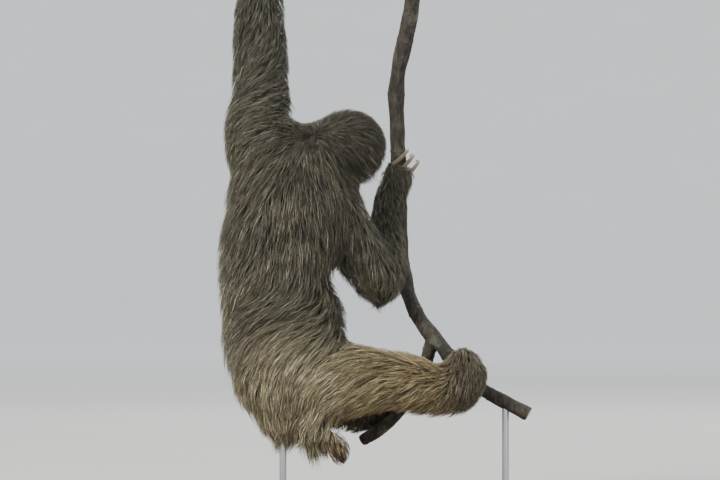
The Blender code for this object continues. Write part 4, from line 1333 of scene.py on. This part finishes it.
# ---------------------------------------------------------------- claws
# Three long curved claws of yellowish horn on each hand and foot, thick at the root and
# darker there. Each is a tapering arc that hooks round the branch.
HAND_CLAW = (0.0040, 0.0300, 0.0130, 0.0140)  # radius, bend, spread and pad
FOOT_CLAW = (0.0037, 0.0260, 0.0120, 0.0160)
GRIPS = {
    # node name: stem, share of its length, palm's way, bend's way, claw, lean
    "left_hand": (LIMB, 0.335, (0.1, -1, -0.25), (-0.5, 0, 1), HAND_CLAW, 12),
    "right_hand": (STEM, 0.545, (0.15, -1, -0.1), (1, 0, 0), HAND_CLAW, 42),
    "left_foot": (SIDE_SHOOT, 0.66, (-0.1, 0.85, 0.5), (-0.3, -0.5, 1), FOOT_CLAW, 0),
    "right_foot": (STEM, 0.875, (0.15, -1, 0), (0.7, 0, 0.7), FOOT_CLAW, 0),
}
horn, tree, shader = shader_of("horn", (0.42, 0.35, 0.24), 0.40)
run, along = run_of(tree)
streaks = tree.nodes.new("ShaderNodeMapping")
streaks.inputs["Scale"].default_value = (26, 2.2, 1)
tree.links.new(run, streaks.inputs["Vector"])
fibre = noise(tree, streaks.outputs["Vector"], 1.0, 5, 0.6)
horn_colour = banded_colours(tree, along, [
    (0.14, (0.052, 0.034, 0.021)), (0.36, (0.135, 0.094, 0.055)),
    (0.68, (0.300, 0.232, 0.140)), (0.90, (0.260, 0.190, 0.105)),
    (1.00, (0.150, 0.100, 0.055))])
stains = spread(tree, noise(tree, object_place(tree), 130, 4, 0.6), 0, 1, 0.42, 0.66)
horn_colour = mixed(tree, stains, horn_colour, (0.120, 0.090, 0.052))
tree.links.new(mixed(tree, 1.0, horn_colour, spread(tree, fibre, 0.50, 1.35, 0.25, 0.75),
                     "MULTIPLY"), shader.inputs["Base Color"])
tree.links.new(spread(tree, fibre, 0.34, 0.66), shader.inputs["Roughness"])
bumped(tree, shader, fibre, 0.0007, 0.8)


def grip(points, share, palm, over, claw, lean):
    """The middle of the claws' arc and its palm, over and along directions: palm is
    square to the stem, over is the way the claws bend, and along is turned by lean."""
    rows = through(points, 12)
    length = np.concatenate([[0], np.cumsum(np.linalg.norm(np.diff(rows[:, :3], axis=0),
                                                           axis=1))])
    k = int(np.searchsorted(length, share * length[-1]))
    along = unit(rows[k + 1, :3] - rows[k - 1, :3])
    palm = laid_flat(np.array(palm, float), along)
    over = laid_flat(laid_flat(np.array(over, float), along), palm)
    turn = math.radians(lean)
    over, along = (over * math.cos(turn) - along * math.sin(turn),
                   along * math.cos(turn) + over * math.sin(turn))
    centre = rows[k, :3] + palm * (rows[k, 3] + claw[3] + 0.0003 - claw[1])
    return centre, palm, over, along


for name, (points, share, palm, over, claw, lean) in GRIPS.items():
    centre, palm, over, along = grip(points, share, palm, over, claw, lean)
    for which in (-1, 0, 1):
        far = np.linspace(0, 1, 30)[:, None, None]
        turn = (np.arange(18) / 18 * 2 * math.pi)[None, :, None]
        end = math.radians(122 - 9 * abs(which))
        arc = math.radians(-30) + (end + math.radians(30)) * far
        out = palm * np.cos(arc) + over * np.sin(arc)
        half = claw[0] * (1 - 0.80 * far**1.7) * np.sqrt(np.clip((1.004 - far) / 0.10, 0, 1))
        flat = 1 - 0.30 * np.exp(-((np.cos(turn) + 1) / 0.35) ** 2)
        claw_points = (centre + along * claw[2] * which * (1 - 0.18 * far)
                       + out * (claw[1] + half * 1.12 * np.cos(turn) * flat)
                       + along * half * 0.84 * np.sin(turn))
        node = f"{name}_claw_{which + 2}"
        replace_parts(closed_grid(node + "_horn", claw_points, horn), node)

# ---------------------------------------------------------------- stand
# A plain base of dark stained wood with eased edges, and two bright steel rods. They
# are the CAD's own solids, with finishes on them.
stained, tree, shader = shader_of("stained_wood", (0.22, 0.13, 0.075), 0.42)
shader.inputs["Coat Weight"].default_value = 0.25
shader.inputs["Coat Roughness"].default_value = 0.25
lines = noise(tree, object_place(tree, (3.0, 46, 30)), 1.6, 6, 0.6)
pores = noise(tree, object_place(tree, (22, 900, 500)), 1.0, 3, 0.7)
board = banded_colours(tree, lines, [
    (0.28, (0.050, 0.024, 0.012)), (0.46, (0.110, 0.056, 0.028)),
    (0.60, (0.165, 0.090, 0.046)), (0.78, (0.225, 0.130, 0.070))])
tree.links.new(mixed(tree, spread(tree, pores, 0.0, 0.55, 0.5, 0.75), board,
                     (0.030, 0.015, 0.008)), shader.inputs["Base Color"])
tree.links.new(spread(tree, lines, 0.34, 0.55), shader.inputs["Roughness"])
bumped(tree, shader, pores, 0.0003, 0.35)
brushed, tree, shader = shader_of("brushed_steel", (0.45, 0.45, 0.46), 0.30)
shader.inputs["Metallic"].default_value = 1.0
scratches = noise(tree, object_place(tree, (1.0, 1.0, 160)), 24, 4, 0.7)
tree.links.new(mixed(tree, scratches, (0.38, 0.38, 0.385), (0.56, 0.56, 0.57)),
               shader.inputs["Base Color"])
tree.links.new(spread(tree, scratches, 0.22, 0.42), shader.inputs["Roughness"])
bumped(tree, shader, scratches, 0.00005, 0.5)
for name, finish, slot in (("stand_base", stained, "base_wood"),
                           ("stand_rod_rump", brushed, "rod"),
                           ("stand_rod_perch", brushed, "rod")):
    nodes[name].data.materials.clear()
    nodes[name].data.materials.append(finish)

# ---------------------------------------------------------------- studio
# A pale floor that rises into a wide bowl far round the object, soft lights and the
# camera, level and far off as through a long lens.
def studio_floor(sides=96):
    """A disc that turns up at its rim: height is 0 to 14 m out and then a quarter round."""
    turn = np.linspace(0, 2 * math.pi, sides + 1)[:-1]
    out = np.concatenate([[0.0, 2.0, 6.0, 11.0], 14 + 6 * np.sin(
        np.linspace(0, math.pi / 2, 13))])
    up = np.concatenate([np.zeros(4), 6 - 6 * np.cos(np.linspace(0, math.pi / 2, 13))])
    ring = np.stack([np.cos(turn), np.sin(turn)], 1)
    points = np.concatenate([np.dstack([ring[None] * out[1:, None, None],
                                        np.repeat(up[1:, None, None], sides, 1)]).reshape(
        -1, 3), [[0, 0, 0]]])
    corner = np.arange(len(points) - 1).reshape(-1, sides)
    after = np.roll(corner, -1, 1)
    quads = np.stack([corner[1:], after[1:], after[:-1], corner[:-1]], -1).reshape(-1, 4)
    middle = np.stack([np.full(sides, len(points) - 1), corner[0], after[0]], -1)
    mesh = bpy.data.meshes.new("studio_floor")
    mesh.from_pydata(points.tolist(), [], quads.tolist() + middle.tolist())
    mesh.shade_smooth()
    return linked("studio_floor", mesh)


floor = studio_floor()
paper, tree, shader = shader_of("pale_floor", (0.62, 0.61, 0.59), 0.9)
length = tree.nodes.new("ShaderNodeVectorMath")
length.operation = "LENGTH"
tree.links.new(object_place(tree), length.inputs[0])
tone = banded_colours(tree, spread(tree, length.outputs["Value"], 0, 1, 0, 20), [
    (0.12, (0.485, 0.482, 0.470)), (0.21, (0.560, 0.557, 0.545)),
    (0.285, (0.750, 0.747, 0.738)), (0.42, (0.900, 0.900, 0.890))])
tree.links.new(mixed(tree, 1.0, tone, spread(tree, noise(tree, object_place(tree), 3.0),
                                             0.97, 1.03), "MULTIPLY"),
               shader.inputs["Base Color"])
floor.data.materials.append(paper)

world = bpy.data.worlds.new("studio")
world.use_nodes = True
bpy.context.scene.world = world
world.node_tree.nodes["Background"].inputs["Color"].default_value = (0.93, 0.96, 1.0, 1)
world.node_tree.nodes["Background"].inputs["Strength"].default_value = 1.0


def soft_light(name, place, size, power, colour):
    """A square area light that faces the middle of the object."""
    lamp = bpy.data.lights.new(name, "AREA")
    lamp.size, lamp.energy, lamp.color = size, power, colour
    made = bpy.data.objects.new(name, lamp)
    made.location = place
    made.rotation_euler = (Vector((0, 0, 0.45)) - made.location).to_track_quat(
        "-Z", "Y").to_euler()
    bpy.context.scene.collection.objects.link(made)


soft_light("key", (-2.6, -2.8, 3.2), 1.4, 330, (1.0, 0.97, 0.92))
soft_light("fill", (3.2, -3.0, 1.6), 2.4, 60, (0.94, 0.97, 1.0))
soft_light("back", (0.8, 3.4, 3.0), 1.8, 120, (1.0, 0.98, 0.95))

CAMERA_AWAY = 6.0  # how far in front of the object the camera stands
VIEW_WIDTH = 1.008  # how wide a piece of the world it takes in there
FILM = 36  # the width of its film in millimetres
camera = bpy.data.objects.new("camera", bpy.data.cameras.new("camera"))
camera.data.sensor_width = FILM
camera.data.lens = FILM * CAMERA_AWAY / VIEW_WIDTH
camera.location = (0.014, -CAMERA_AWAY, 0.382)
camera.rotation_euler = (math.pi / 2, 0, 0)
bpy.context.scene.collection.objects.link(camera)
bpy.context.scene.camera = camera

# ---------------------------------------------------------------- the helper flesh taken away
bpy.data.objects.remove(flesh)
